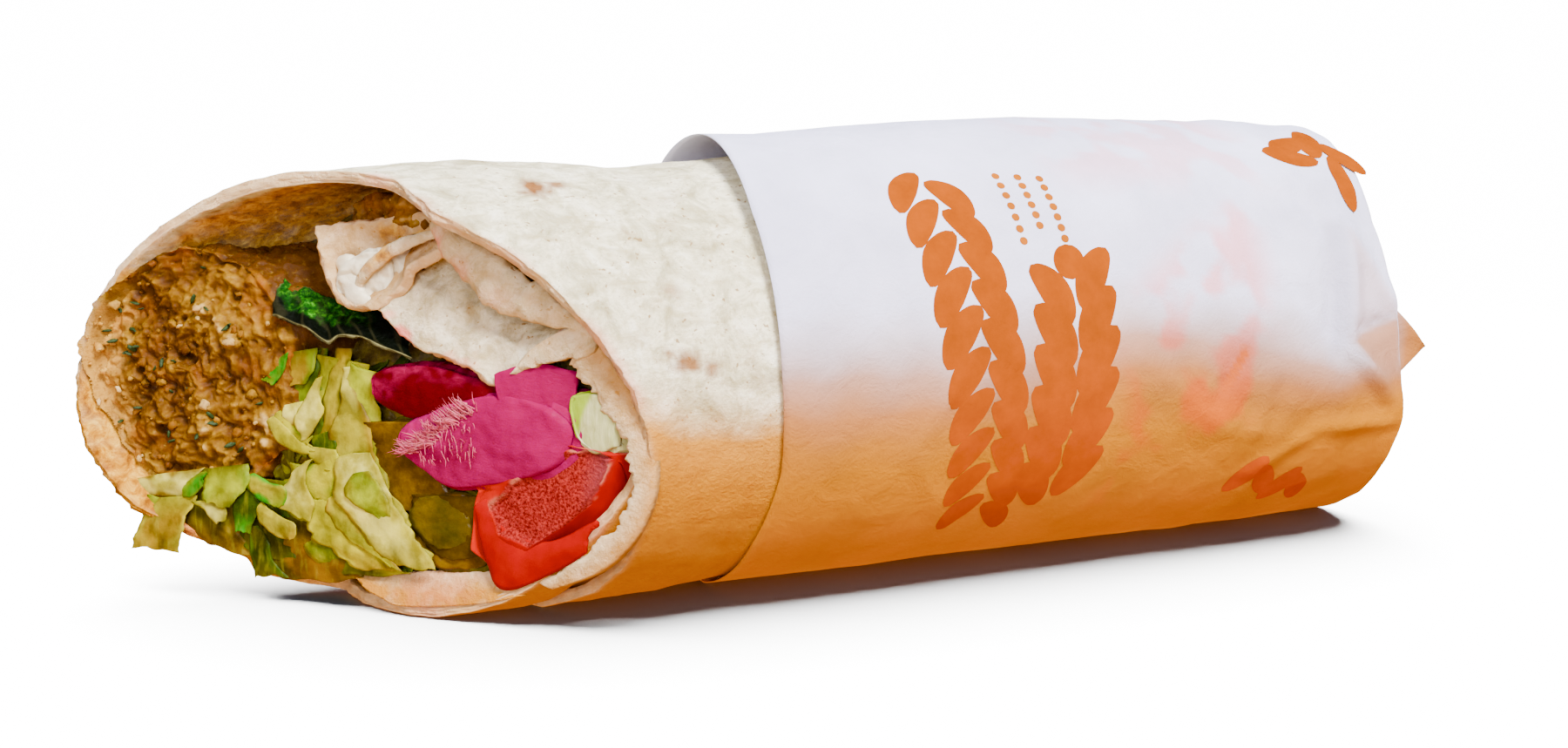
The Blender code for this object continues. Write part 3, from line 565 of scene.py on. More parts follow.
def tomato_material():
    s = Shader("tomato_flesh", Roughness=0.2, Specular_IOR_Level=0.01, **soft(0.1, 1.2, (1.0, 0.04, 0.01)))
    skin = s.ramp(s.noise(5.0, 3.0), (0.3, (0.20, 0.0001, 0.0001)), (0.7, (0.30, 0.0002, 0.0001)))
    skin = s.mix(s.attribute("amber"), skin, (0.38, 0.006, 0.0001))
    grain = s.noise(0.36, 3.0, 0.6)
    flesh = s.mix(s.ramp(grain, (0.36, 0.0), (0.64, 1.0)), (0.10, 0.0008, 0.0006), (0.32, 0.022, 0.018))
    flesh = s.mix(s.attribute("mauve"), flesh, (0.20, 0.026, 0.032))
    face = s.attribute("flesh")
    base = s.mix(face, skin, flesh)
    base = s.mix(s.attribute("pale"), base, (0.62, 0.20, 0.13))
    return s.out(base, s.mix(face, (0.14, 0.14, 0.14), (0.45, 0.45, 0.45)),
                 s.bump(s.math("MULTIPLY", grain, face), 0.45, 0.8))


def pickle_material():
    s = Shader("pickle_flesh", Roughness=0.22, Specular_IOR_Level=0.12, **soft(0.15, 1.5, (1.0, 0.6, 0.05)))
    base = s.ramp(s.noise(4.0, 4.0), (0.34, (0.030, 0.012, 0.0001)), (0.5, (0.080, 0.038, 0.0003)),
                  (0.68, (0.16, 0.085, 0.0008)))
    base = s.mix(s.attribute("deep"), base, (0.016, 0.010, 0.0001))
    base = s.mix(s.attribute("skin"), base, (0.09, 0.13, 0.001))
    return s.out(base, None, s.bump(s.noise(1.6, 4.0), 0.3, 0.6))


def pepper_material():
    s = Shader("pepper_flesh", Roughness=0.22, Specular_IOR_Level=0.3, **soft(0.3, 1.4, (0.8, 1.0, 0.3)))
    streak = s.noise(1.0, 4.0, 0.6, 0.3, s.stretch(1.6, 1.6, 0.35))
    base = s.mix(streak, (0.22, 0.24, 0.055), (0.62, 0.62, 0.34))
    base = s.mix(s.attribute("skin"), base, (0.26, 0.38, 0.012))
    return s.out(base, None, s.bump(streak, 0.3, 0.5))


def sauce_material():
    s = Shader("white_sauce", Roughness=0.3, Specular_IOR_Level=0.4, **soft(0.25, 1.5, (1.0, 0.9, 0.7)))
    base = s.mix(s.noise(2.2, 4.0), (0.62, 0.53, 0.38), (0.80, 0.72, 0.56))
    return s.out(base, None, s.bump(s.noise(1.4, 4.0), 0.45, 0.6))


# ---------------------------------------------------------------- flatbread

# Toasted spots: x along the roll, angle, length along x, width round the roll, strength
TOAST = ((-44.2, 114.5, 2.4, 3.0, 1.0), (-40.8, 113.2, 2.0, 1.5, 0.9), (-46.4, 117.0, 0.9, 1.2, 0.9),
         (-29.9, 148.0, 1.9, 1.4, 0.6), (-29.4, 166.5, 3.2, 1.8, 0.95), (-25.8, 168.5, 1.8, 1.3, 0.85),
         (-31.8, 164.6, 0.9, 0.6, 0.8), (-18.0, 186.0, 1.2, 0.9, 0.5), (-20.0, 199.0, 1.1, 0.8, 0.6),
         (-26.0, 188.0, 1.0, 0.7, 0.4), (-34.0, 132.0, 0.6, 0.5, 0.5), (-21.0, 160.0, 0.7, 0.5, 0.4),
         (-18.0, 194.0, 0.9, 0.7, 0.6), (-19.0, 208.0, 1.6, 1.0, 0.6), (-36.0, 181.0, 1.4, 0.8, 0.35),
         (-52.0, 84.0, 3.0, 1.6, 0.6), (-38.0, 60.0, 3.6, 2.0, 0.7), (-60.0, 40.0, 3.0, 2.2, 0.8),
         (-30.0, 25.0, 4.0, 2.0, 0.6), (-48.0, 8.0, 3.4, 2.4, 0.8), (-70.0, 12.0, 2.6, 1.8, 0.6))
# Ridges of the flaps: points on the cut along each
FOLD_A = ((-10.4, 55.2, 0.6), (-7.6, 54.0, 0.2), (-5.2, 52.2, -0.2), (-2.8, 49.4, -0.4), (-1.2, 47.0, 0.2))
FOLD_C = ((-9.8, 56.8, 0.6), (-12.5, 54.0, -0.2), (-15.6, 50.9, -0.6), (-19.0, 47.8, -0.6),
          (-22.4, 45.5, -0.2), (-25.9, 43.4, 0.4))
# Torn layers: (y, z) along the torn inner edge, then along the outer one
TORN = (((-23.8, 37.6), (-25.3, 36.3), (-26.8, 33.7), (-28.0, 31.1), (-29.2, 28.7), (-29.9, 26.3),
         (-30.3, 23.6), (-30.5, 20.9), (-29.3, 17.4), (-27.6, 14.4), (-24.5, 10.6), (-20.1, 7.2)),
        ((-26.4, 41.9), (-28.0, 38.7), (-29.4, 36.1), (-30.7, 33.5), (-31.7, 30.9), (-32.3, 27.7),
         (-32.5, 24.4), (-32.2, 20.5), (-31.1, 16.5), (-29.4, 12.9), (-26.4, 9.2), (-21.6, 6.2)))
CURL = (((-19.1, 36.3), (-20.7, 37.5), (-22.4, 38.3), (-24.1, 38.7), (-25.2, 38.5), (-26.9, 39.7)),
        ((-18.6, 36.5), (-20.2, 39.3), (-22.0, 41.2), (-24.3, 42.8), (-26.5, 43.4), (-27.5, 42.6)))
LIP = (((1.5, 5.2), (-0.6, 5.6), (-2.5, 5.9), (-6.7, 6.6), (-10.4, 7.3), (-13.5, 7.5),
        (-15.4, 6.3), (-17.5, 5.4)),
       ((-0.3, 4.9), (-1.2, 3.6), (-3.0, 2.5), (-4.9, 1.6), (-10.4, 2.3), (-14.5, 3.3),
        (-16.4, 4.0), (-18.5, 4.9)))


def bread_size(x):
    """Half width, half height, middle height and floor of the roll at x."""
    top = table(BREAD_TOP, x)
    floor = table(BREAD_FLOOR, x)
    rise = (top - floor + FLAT_SINK) / 2.0
    return table(BREAD_HALF_WIDTH, x), rise, top - rise, floor


def section(x, angle, inset):
    """y and z of the roll's skin, moved in by inset."""
    half, rise, middle, floor = bread_size(x)
    turn = np.radians(angle)
    y = (half - inset) * np.cos(turn)
    z = middle + (rise - inset) * np.sin(turn)
    return y, np.maximum(z, floor + np.maximum(inset, 0.0))


def layer_depth(angle):
    """How far in the bread's outer face lies, where the sheet's start is rolled under its end."""
    depth = (BREAD_T + LAYER_GAP) * (1.0 - smooth(292.0, 395.0, angle))
    return depth + 1.5 * (1.0 - smooth(112.0, 150.0, angle))


def roll_inset(angle, x):
    """How far the bread lies in from the skin; its bare start sags out a little."""
    y = table(BREAD_HALF_WIDTH, x) * np.cos(np.radians(angle))
    bare = CUT_X - y + table(RIM, np.minimum(angle + 360.0, ROLL_END)) - x
    sag = 1.9 * smooth(0.5, 6.0, bare) * smooth(215.0, 240.0, angle)
    return layer_depth(angle) - np.where(angle < 300.0, sag, 0.0)


def warmth(points, start, end):
    """How deep each point is in the amber light under the roll: 0 to 1 over the angles given."""
    turn = np.degrees(np.arctan2(points[..., 2] - 32.0, points[..., 1])) % 360.0
    wander = 5.0 * perlin(points, 24.0, 43.0) + 2.5 * perlin(points, 7.0, 44.0)
    share = np.clip((turn - start + wander) / (end - start), 0.0, 1.0)
    return share * (1.0 - smooth(318.0, 352.0, turn))


def spots(points, places, seed):
    """Soft patches at (y, z, size, strength) on the cut side."""
    total = np.zeros(len(points))
    wander = 0.5 * perlin(points, 1.5, seed)
    for y, z, size, strength in places:
        dist = np.hypot(points[:, 1] - y, points[:, 2] - z) / size + wander
        total = np.maximum(total, strength * (1 - smooth(0.3, 1.2, dist)))
    return total


def bread_values(points, edge, warm, stain, pink, toast=0.2):
    """The numbers the bread's material asks for, on a small piece of it."""
    return {"edge": edge, "stain": spots(points, stain, 23.0), "pink": spots(points, pink, 24.0),
            "toast": toast * smooth(0.25, 0.6, perlin(points, 3.0, 25.0)),
            "warm": warm * np.ones(len(points))}


def bread_rim(angles):
    """x of the cut rim at each angle; it is more ragged on the near side."""
    rim = CUT_X - table(BREAD_HALF_WIDTH, -60) * np.cos(np.radians(angles)) + table(RIM, angles)
    along_rim = points_of(angles * 0.55, 0.0, 0.0)
    torn = smooth(120.0, 150.0, angles) * (1.0 - smooth(225.0, 245.0, angles))
    rim = rim + 0.3 * perlin(along_rim, 2.2, 1.0) + 0.16 * perlin(along_rim, 0.8, 1.5)
    return rim + torn * (0.45 * perlin(along_rim, 3.0, 1.7) + 0.25 * perlin(along_rim, 1.0, 1.9))


def bread_relief(x, angle, skin):
    """Blisters and fine creases of the baked skin, in mm outwards; the paper hides where they end."""
    blister = 0.20 * perlin(skin, 5.5, 3.0) + 0.10 * perlin(skin, 2.1, 4.0) + 0.05 * perlin(skin, 0.9, 4.5)
    arc = BREAD_RADIUS * np.radians(angle)
    crease = points_of(0.35 * x + 0.3 * arc, arc - 0.9 * x, 0.0)
    blister += 0.16 * (0.5 - np.abs(perlin(crease, 7.0, 5.0)) * 1.6)
    return blister * (1.0 - smooth(-20.0, -14.0, x))


def bread_toast(x, angle, skin, low):
    """The toasted spots and a fainter browning between them, 0 to 1."""
    toast = np.zeros_like(x)
    wander = 0.42 * perlin(skin, 1.5, 9.0) + 0.25 * perlin(skin, 0.7, 9.5)
    for spot_x, spot_angle, length, width, strength in TOAST:
        along = (x - spot_x) / length
        for turns in (0.0, 360.0):
            across = (angle - turns - spot_angle) * BREAD_MM_PER_DEGREE / width
            reach = np.hypot(along, across) + wander
            toast = np.maximum(toast, strength * (1.0 - smooth(0.35, 1.25, reach)))
    browned = smooth(0.12, 0.5, perlin(skin, 3.2, 12.0)) * smooth(-0.15, 0.3, perlin(skin, 15.0, 13.0))
    return np.maximum(toast, (0.2 + 0.4 * low) * browned)


def bread_stain(angle, skin, depth_in, inside):
    """Sauce and fat soaked into the inner face, 0 to 1."""
    stain = inside * smooth(0.3, 4.0, depth_in + 1.8 * perlin(skin, 3.0, 15.0))
    ragged = angle + 8.0 * perlin(skin, 5.0, 15.5)
    under = smooth(286.0, 296.0, angle) * (1.0 - smooth(390.0, 415.0, ragged))
    stain = np.maximum(stain, 1.1 * under * smooth(-1.2, 0.3, depth_in))
    return stain * (0.92 + 0.3 * perlin(skin, 2.4, 16.0))


def bread_sheet(material):
    """The rolled sheet: outer face, crumbly cut edge and inner face."""
    angles = np.arange(ROLL_START, ROLL_END + 0.1, 1.8)
    parts = np.concatenate((np.linspace(0.0, 0.42, 86), np.linspace(0.42, 1.0, 14)[1:]))
    rim = bread_rim(angles)
    grid_angle, part = np.meshgrid(angles, parts, indexing="ij")
    x = rim[:, None] + (BREAD_END_X - rim[:, None]) * part
    ease = 1.0 - smooth(-30.0, -16.0, x)
    wave = np.maximum(0.35 * ease * perlin(around(x, grid_angle, 25.0), 22.0, 2.0), -0.2)
    skin = around(x, grid_angle, BREAD_RADIUS)
    blister = bread_relief(x, grid_angle, skin)
    inset = roll_inset(grid_angle, x) + wave
    outer = np.stack((x, *section(x, grid_angle, inset - blister + 0.05)), -1)
    inner = np.stack((x, *section(x, grid_angle, inset + BREAD_T + 0.6 * blister)), -1)
    # The cut edge between the two faces is crumbly, with its layers a little apart.
    edge_lines = []
    for k, share in enumerate((0.08, 0.22, 0.36, 0.5, 0.64, 0.78, 0.92)):
        line = outer[:, 0] * (1 - share) + inner[:, 0] * share
        rough = 0.55 * perlin(line, 1.1, 6.0 + k) + 0.35 * math.sin(math.pi * share) - 0.28 * (k % 2)
        line[:, 0] -= rough
        line[:, 1] -= 0.35 * rough
        edge_lines.append(line)
    edge = np.stack(edge_lines, 1)
    strips = edge.shape[1]
    profile = np.concatenate((outer[:, ::-1], edge, inner), 1)
    count, cols = profile.shape[:2]
    face_cols = outer.shape[1]

    def spread(outside, middle, inside):
        """One number per point, from those of the outer face, the cut edge and the inner face."""
        full = np.zeros((count, cols))
        full[:, :face_cols] = outside[:, ::-1]
        full[:, face_cols:face_cols + strips] = middle
        full[:, face_cols + strips:] = inside
        return np.clip(full, 0.0, 1.0).ravel()

    depth_in = x - rim[:, None]
    near_rim = np.exp(-(depth_in / 0.5) ** 2)
    mask = spread(0.3 * near_rim, 0.8, 0.6 * near_rim)
    low = smooth(180.0, 205.0, grid_angle % 360.0) * (1.0 - smooth(330.0, 350.0, grid_angle % 360.0))
    toast = bread_toast(x, grid_angle, skin, low)
    inside = smooth(300.0, 320.0, grid_angle) * (1.0 - smooth(470.0, 492.0, grid_angle))
    stain = bread_stain(grid_angle, skin, depth_in, inside)
    strip = smooth(286.0, 296.0, grid_angle) * (1.0 - smooth(350.0, 372.0, grid_angle))
    strip = np.clip(0.12 + 0.95 * strip + 0.25 * perlin(skin, 2.0, 16.5), 0.0, 1.0)
    herb = smooth(0.50, 0.56, perlin(skin, 1.5, 19.0)) * inside
    pink = 0.35 * smooth(0.1, 0.5, perlin(skin[:, 0], 9.0, 17.0))[:, None]
    near = np.exp(-(depth_in / 1.2) ** 2)
    early = 12.0 * (1.0 - smooth(-52.0, -28.0, profile[..., 0]))
    # The roll's lower side takes painted amber light from the table below
    gold = smooth(0.0, 1.0, warmth(profile, 171.0 - early, 205.0 - early))
    make_object("tortilla_sheet", profile, closed_faces(count, cols), material, "tortilla", "bread",
                edge=mask, toast=spread(toast, 0.25 * low[:, :1], 0.9 * herb), warm=gold.ravel(),
                stain=spread(np.zeros_like(x), strip[:, :1], stain * (1.0 - 0.4 * herb)),
                pink=spread(pink * near, 0.8 * pink, pink * near))


def thick_patch(rows, across, along, thickness, edge_round, lift=None, frill=None):
    """A bent sheet through rows of points on the cut, with a rounded edge.

    lift(face) sinks it along its normal and frill(face) moves its points. Returns the points, the faces,
    a mask of the edge and the grid of the front face.
    """
    lines = np.array([spline(cut_point(*np.array(row, float).T), along) for row in rows])
    face = spline(lines, across).transpose(1, 0, 2)
    if frill is not None:
        face = frill(face)
    normal = normals_of(face)
    if normal[:, :, 0].mean() < 0:
        normal = -normal
    if lift is not None:
        face = face - normal * lift(face)[:, :, None]
    layers = [face + normal * thickness * share for share in (0.0, 0.12, 0.5, 0.88, 1.0)]
    points = [layers[0].reshape(-1, 3), layers[-1].reshape(-1, 3)]
    n_rows, n_cols = face.shape[:2]
    half = n_rows * n_cols
    faces = strip_faces(n_rows, n_cols) + strip_faces(n_rows, n_cols, half, flip=True)
    border = border_of(n_rows, n_cols)
    i, j = np.divmod(border, n_cols)
    centre = face[i, j]
    inward = face[np.clip(i, 1, n_rows - 2), np.clip(j, 1, n_cols - 2)]
    out = centre - inward
    out /= np.maximum(np.linalg.norm(out, axis=1, keepdims=True), 1e-6)
    start = 2 * half
    loops = [border]
    for level, push in ((1, 0.7), (2, 1.0), (3, 0.7)):
        line = layers[level][i, j] + out * edge_round * push
        line = line + (0.5 * perlin(line, 2.0, 7.0) + 0.3 * perlin(line, 0.8, level))[:, None] * out
        points.append(line)
        loops.append(list(range(start, start + len(line))))
        start += len(line)
    loops.append([v + half for v in border])
    for a, b in zip(loops, loops[1:]):
        size = len(a)
        faces += [[a[(k + 1) % size], a[k], b[k], b[(k + 1) % size]] for k in range(size)]
    edge = np.zeros(start)
    edge[2 * half:] = 1.0
    return np.concatenate(points), faces, edge, face


def bread_flap(name, rows, across, along, material, warm, stain=(), pink=()):
    """A loose flap of bread, thin and wrinkled."""
    def lift(face):
        bend = face + 1.5 * perlin(face, 5.0, 20.0)[..., None]
        return (0.6 * perlin(face, 6.0, 21.0) + 0.9 * (0.5 - np.abs(perlin(bend, 7.0, 21.5)) * 2)
                + 0.3 * perlin(face, 2.4, 22.0) + 0.12 * perlin(face, 0.9, 22.5))

    points, faces, edge, face = thick_patch(rows, across, along, 1.7, 0.35, lift)
    values = bread_values(points, 0.8 * edge, warm, stain, pink)
    half = face[..., 0].size
    values["stain"][half:2 * half] = 0.4
    make_object(name, points, faces, material, "tortilla", "bread", **values)


def roll_edge(name, path, radii, material, flat, warm, stain=(), pink=()):
    """A rolled or folded ridge of bread."""
    grid, faces = tube(path, radii, 70, 18, flat, ((0.3, 2.6, 26.0), (0.15, 0.9, 27.0)))
    points = grid.reshape(-1, 3)
    edge = 0.35 * smooth(-0.2, 0.5, perlin(points, 3.0, 28.0))
    values = bread_values(points, edge, warm, stain, pink)
    make_object(name, points, faces, material, "tortilla", "bread", **values)


def torn_layer(name, inner, outer, material, depth, fray, white, warm, tilt=0.0, lump=0.3, pink=()):
    """A layer of bread seen edge-on, between two (y, z) lines on the cut, torn along the inner one."""
    steps, cols, thick = 160, 20, 1.2
    a = spline(np.array(inner, float), steps)
    b = spline(np.array(outer, float), steps)
    t = np.linspace(0, 1, cols)
    flat = a[:, None] * (1 - t)[None, :, None] + b[:, None] * t[None, :, None]
    face = cut_point(flat[..., 0], flat[..., 1], depth)
    tear = perlin(face, 2.6, 33.0) + 0.7 * perlin(face, 1.1, 34.0) + 0.4 * perlin(face, 0.5, 34.5)
    flat = flat - (fray * tear[:, :1] * ((1 - t) ** 2)[None])[..., None] * (b - a)[:, None]
    relief = perlin(face, 3.4, 36.0) + 0.5 * perlin(face, 1.2, 37.0) + 0.25 * perlin(face, 0.5, 38.0)
    shape = np.sin(math.pi * np.clip(t, 0.02, 0.98) ** 0.7)[None]
    slope = depth + tilt * (1 - t)[None]
    front = cut_point(flat[..., 0], flat[..., 1], slope - 0.5 * shape + lump * relief * shape)
    back = cut_point(flat[..., 0], flat[..., 1], slope + thick)
    points, faces = two_sided(front, back)
    edge = white * (1 - smooth(0.0, 0.35, t))[None] + 0.25 * smooth(0.0, 0.5, relief)
    edge = np.tile(np.clip(edge, 0, 0.9).ravel(), 2)
    warm = warm * np.tile(0.4 + 0.6 * t, 2 * steps)
    values = bread_values(points, edge, warm, (), pink, 0.1)
    make_object(name, points, faces, material, "tortilla", "bread", **values)


def loose_bread(material):
    """The flaps inside the cut, their folded ridges, and the torn layers along the rim."""
    bread_flap("tortilla_flap_a", FLAP_A, 40, 90, material, warm=0.32,
               stain=((-1.3, 54.6, 1.7, 0.75), (-0.9, 52.4, 1.4, 0.8), (-0.8, 50.9, 1.2, 0.7),
                      (5.2, 51.6, 0.7, 0.5), (-4.2, 53.2, 1.9, 0.95)))
    bread_flap("tortilla_flap_b", FLAP_B, 50, 120, material, warm=0.10,
               pink=((-6.4, 40.6, 1.7, 0.9), (-4.6, 43.4, 1.0, 0.5), (-13.0, 36.9, 2.2, 0.4),
                     (-22.0, 41.6, 1.4, 0.3)))
    roll_edge("tortilla_fold_a", FOLD_A, (0.5, 0.9, 1.1, 1.0, 0.6), material, flat=0.5, warm=0.18,
              stain=((-5.0, 52.0, 1.6, 0.9), (-3.6, 50.2, 1.2, 0.6)))
    roll_edge("tortilla_fold_c", FOLD_C, (0.8, 2.2, 3.0, 3.0, 2.3, 0.8), material, flat=0.6, warm=0.16,
              pink=((-10.8, 53.6, 2.4, 0.6), (-14.8, 50.4, 2.0, 0.35), (-19.0, 47.0, 2.2, 0.15)))
    torn_layer("tortilla_torn", *TORN, material, depth=0.8, fray=0.3, white=0.35, warm=0.42,
               pink=((-24.6, 41.0, 2.0, 0.4),))
    torn_layer("tortilla_curl", *CURL, material, depth=-0.2, fray=0.2, white=0.2, warm=0.25)
    torn_layer("tortilla_lip", *LIP, material, depth=-0.1, fray=0.06, white=0.1, warm=0.66, tilt=2.5,
               lump=0.2, pink=((-9.0, 5.0, 5.0, 0.2),))


# ---------------------------------------------------------------- paper

PAPER_T = 0.18
PAPER_FLOOR = 0.02      # the sleeve's lowest point above the table
PRINT_LIFT = 0.06
# Angles between which the amber light comes in, at places along x
WARM_X = (0.0, 42.0, 72.0, 82.0)
WARM_START = (159.0, 156.0, 163.0, 176.0)
WARM_END = (219.0, 214.0, 226.0, 210.0)
# Creases: from (x, angle) to (x, angle), height, width
CREASES = ((86.3, 148.0, 83.4, 177.6, 1.7, 1.6), (81.5, 153.6, 79.8, 183.3, -0.9, 1.3),
           (83.4, 177.6, 96.1, 197.6, 1.4, 1.4), (95.3, 172.3, 83.4, 177.6, -1.0, 1.2),
           (86.3, 148.0, 95.3, 172.3, 0.8, 1.2), (79.4, 202.3, 97.4, 202.6, 1.1, 1.3),
           (68.8, 215.4, 79.4, 202.3, 0.7, 1.4), (62.2, 178.7, 57.4, 193.0, -0.5, 1.2),
           (68.2, 180.8, 66.8, 208.5, 0.6, 1.3), (38.3, 174.5, 71.4, 212.6, 0.5, 2.4),
           (16.0, 168.5, 5.3, 197.6, 0.3, 1.1), (5.3, 197.6, 18.4, 233.2, 0.3, 1.2),
           (60.0, 122.0, 86.0, 134.0, 0.4, 2.4), (-10.0, 150.0, 4.0, 128.0, 0.22, 1.6),
           (48.0, 96.0, 76.0, 78.0, 0.4, 3.0), (20.0, 60.0, 70.0, 20.0, 0.5, 2.5),
           (60.0, 340.0, 88.0, 10.0, 0.5, 2.2), (0.0, 110.0, 26.0, 96.0, 0.2, 1.8),
           (56.0, 196.0, 78.0, 206.0, 0.5, 1.8), (70.0, 108.0, 84.0, 118.0, 0.3, 1.8),
           (-4.0, 160.0, 6.0, 176.0, 0.15, 1.4), (30.0, 104.0, 44.0, 116.0, 0.2, 1.6),
           (52.0, 150.0, 70.0, 158.0, 0.25, 1.8), (74.0, 132.0, 80.0, 160.0, 0.4, 1.6))
# Loose printed leaves (x, angle, length, width, turn), a zigzag of them (x, angle, turn) and rows of dots
# (x, first and last angle)
PRINT_SPRAY = ((82.8, 122.0, 11.0, 4.8, 100.0), (84.6, 115.6, 11.0, 4.8, 62.0),
               (90.0, 113.6, 11.0, 4.8, 20.0), (94.0, 121.6, 10.0, 4.6, -24.0),
               (90.4, 131.6, 13.0, 3.4, 8.0))
PRINT_ZIGZAG = ((68.6, 216.5, 30.0), (73.2, 219.5, -30.0), (77.6, 222.5, 30.0), (81.8, 225.0, -30.0))
PRINT_DOTS = ((24.8, 127.0, 150.0), (28.4, 128.0, 146.0), (32.0, 129.0, 150.0))
# Facets of the rumpled end: (x, angle) corners, then how much painted shade, painted pink light and painted
# amber light each has
FACETS = ((((81.5, 146.0), (86.3, 144.0), (83.4, 177.6), (79.8, 183.3)), 0.45, 0.0, 0.0),
          (((86.3, 148.0), (95.3, 172.3), (83.4, 177.6)), 0.0, 0.10, 0.10),
          (((83.4, 177.6), (95.3, 172.3), (96.8, 197.6), (87.2, 183.9)), 0.0, 0.0, 0.30),
          (((62.2, 177.7), (64.2, 178.7), (59.0, 194.5), (56.0, 193.0)), 0.0, 0.0, 0.50))


def paper_crease(x, angle):
    """Sharp folds and soft facets of the paper, in mm outwards."""
    x, angle = np.broadcast_arrays(np.asarray(x, float), np.asarray(angle, float))
    total = np.zeros(x.shape)
    for x0, a0, x1, a1, height, width in CREASES:
        u = np.stack((x - x0, (angle - a0) * PAPER_MM_PER_DEGREE), -1)
        line = np.array((x1 - x0, (a1 - a0) * PAPER_MM_PER_DEGREE))
        share = np.clip((u @ line) / (line @ line), 0.0, 1.0)
        dist = np.linalg.norm(u - share[..., None] * line, axis=-1)
        ridge = np.maximum(1.0 - dist / (1.9 * width), 0.0)
        total = total + height * ridge * (0.4 + 0.6 * np.sin(math.pi * share))
    where = around(x, angle, PAPER_RADIUS)
    bend = where + 2.0 * perlin(where, 9.0, 30.0)[..., None]
    facets = 1.0 - 2.0 * np.abs(perlin(bend, 24.0, 31.0))
    fine = 1.0 - 2.2 * np.abs(perlin(bend, 8.0, 32.0))
    ease = smooth(-16.0, 0.0, x)
    far = 0.6 + 0.8 * smooth(50.0, 85.0, x)
    return total + ease * far * (0.5 * facets + 0.2 * fine) - 0.35


def paper_point(x, angle, lift=0.0):
    """A point of the sleeve, creases and all."""
    top = table(PAPER_TOP, x)
    half = table(PAPER_HALF_WIDTH, x)
    rise = (top + FLAT_SINK) / 2.0
    turn = np.radians(angle)
    fold = 0.3 * np.sin(0.055 * x + 2.2 * np.sin(turn)) * smooth(95.0, 140.0, angle)
    fold *= (1.0 - smooth(215.0, 250.0, angle)) * smooth(-12.0, 10.0, x)
    crease = paper_crease(x, angle)
    reach = fold + crease + lift
    y = (half + reach) * np.cos(turn)
    z = top - rise + (rise + crease * 0.6 + lift) * np.sin(turn)
    return np.stack((x, y, np.maximum(z, PAPER_FLOOR - np.minimum(lift, 0.0))), -1)


def paper_sleeve(material):
    """The sleeve, gathered and pushed in at its end."""
    angles = np.arange(0.0, 360.0, 1.5)
    parts = np.concatenate((np.linspace(0, 0.06, 6), np.linspace(0.06, 1.0, 150)[1:]))
    grid_angle, part = np.meshgrid(angles, parts, indexing="ij")
    rim = table(PAPER_RIM, angles)[:, None]
    end = table(PAPER_END, angles)[:, None]
    x = rim + (end - rim) * part
    outer = paper_point(x, grid_angle)
    outer[:, :, 1] *= 1.0 - 0.02 * smooth(0.93, 1.0, part)
    rings = [outer]
    rim_line = outer[:, -1]
    middle = np.array((PAPER_CENTRE[2], *PAPER_CENTRE[:2]))
    pleat = np.sin(np.radians(angles) * 9.0) + 0.6 * np.sin(np.radians(angles) * 23.0 + 1.0)
    for scale, bulge in ((0.985, 0.5), (0.93, 1.6), (0.84, 1.9), (0.72, 1.2), (0.58, 0.2), (0.42, -1.0),
                         (0.22, -2.0)):
        line = middle + (rim_line - middle) * scale
        line[:, 0] += bulge + 1.5 * pleat * (1 - scale)
        rings.append(line[:, None])
    face = np.concatenate(rings, 1)
    inner = face.copy()
    inward = np.array((0.0, -1.0, 34.0)) - face
    inward[:, :, 0] = 0.0
    inward /= np.maximum(np.linalg.norm(inward, axis=2, keepdims=True), 1e-6)
    cap = part.shape[1]
    inner[:, :cap] += inward[:, :cap] * PAPER_T
    inner[:, cap:, 0] -= PAPER_T
    count, cols = face.shape[:2]
    half = count * cols
    faces = strip_faces(count, cols, wrap_rows=True)
    faces += strip_faces(count, cols, half, wrap_rows=True, flip=True)
    faces += [[((k + 1) % count) * cols, k * cols, k * cols + half, ((k + 1) % count) * cols + half]
              for k in range(count)]
    faces.append([k * cols + cols - 1 for k in range(count)])
    faces.append([k * cols + cols - 1 + half for k in range(count)][::-1])
    where = around(x, grid_angle, PAPER_RADIUS)
    # Reddish patches where the fillings' juice shows through, above and on the near side.
    patchy = smooth(0.0, 0.35, perlin(where, 7.0, 41.0) + 0.3 * perlin(where, 2.6, 42.0) + 0.12)
    zone_top = smooth(30, 42, x) * (1 - smooth(70, 80, x)) * smooth(84, 94, grid_angle)
    zone_top = zone_top * (1 - smooth(124, 140, grid_angle))
    drift = grid_angle + 1.1 * (x - 52.0)
    zone_side = smooth(38, 46, x) * (1 - smooth(64, 72, x)) * smooth(146, 160, drift)
    zone_side = zone_side * (1 - smooth(204, 216, drift))
    masks = {key: np.zeros((count, cols)) for key in ("ghost", "dull", "warm")}
    masks["ghost"][:, :cap] = patchy * np.clip(0.42 * zone_top + 0.72 * zone_side, 0, 1)
    start, end = [np.interp(face[..., 0], WARM_X, level) for level in (WARM_START, WARM_END)]
    masks["warm"] = warmth(face, start, end)
    flat = np.stack((x, x, PAPER_MM_PER_DEGREE * grid_angle), -1)
    for corners, *levels in FACETS:
        outline = [(fx, PAPER_MM_PER_DEGREE * fa) for fx, fa in corners]
        near = smooth(-1.3, 1.3, inside_distance(flat, outline))
        for key, level in zip(("dull", "ghost", "warm"), levels):
            masks[key][:, :cap] = np.maximum(masks[key][:, :cap], level * near)
    masks = {key: np.tile(value.ravel(), 2) for key, value in masks.items()}
    make_object("paper_sleeve", np.concatenate((face.reshape(-1, 3), inner.reshape(-1, 3))), faces,
                material, "paper", "paper", **masks)


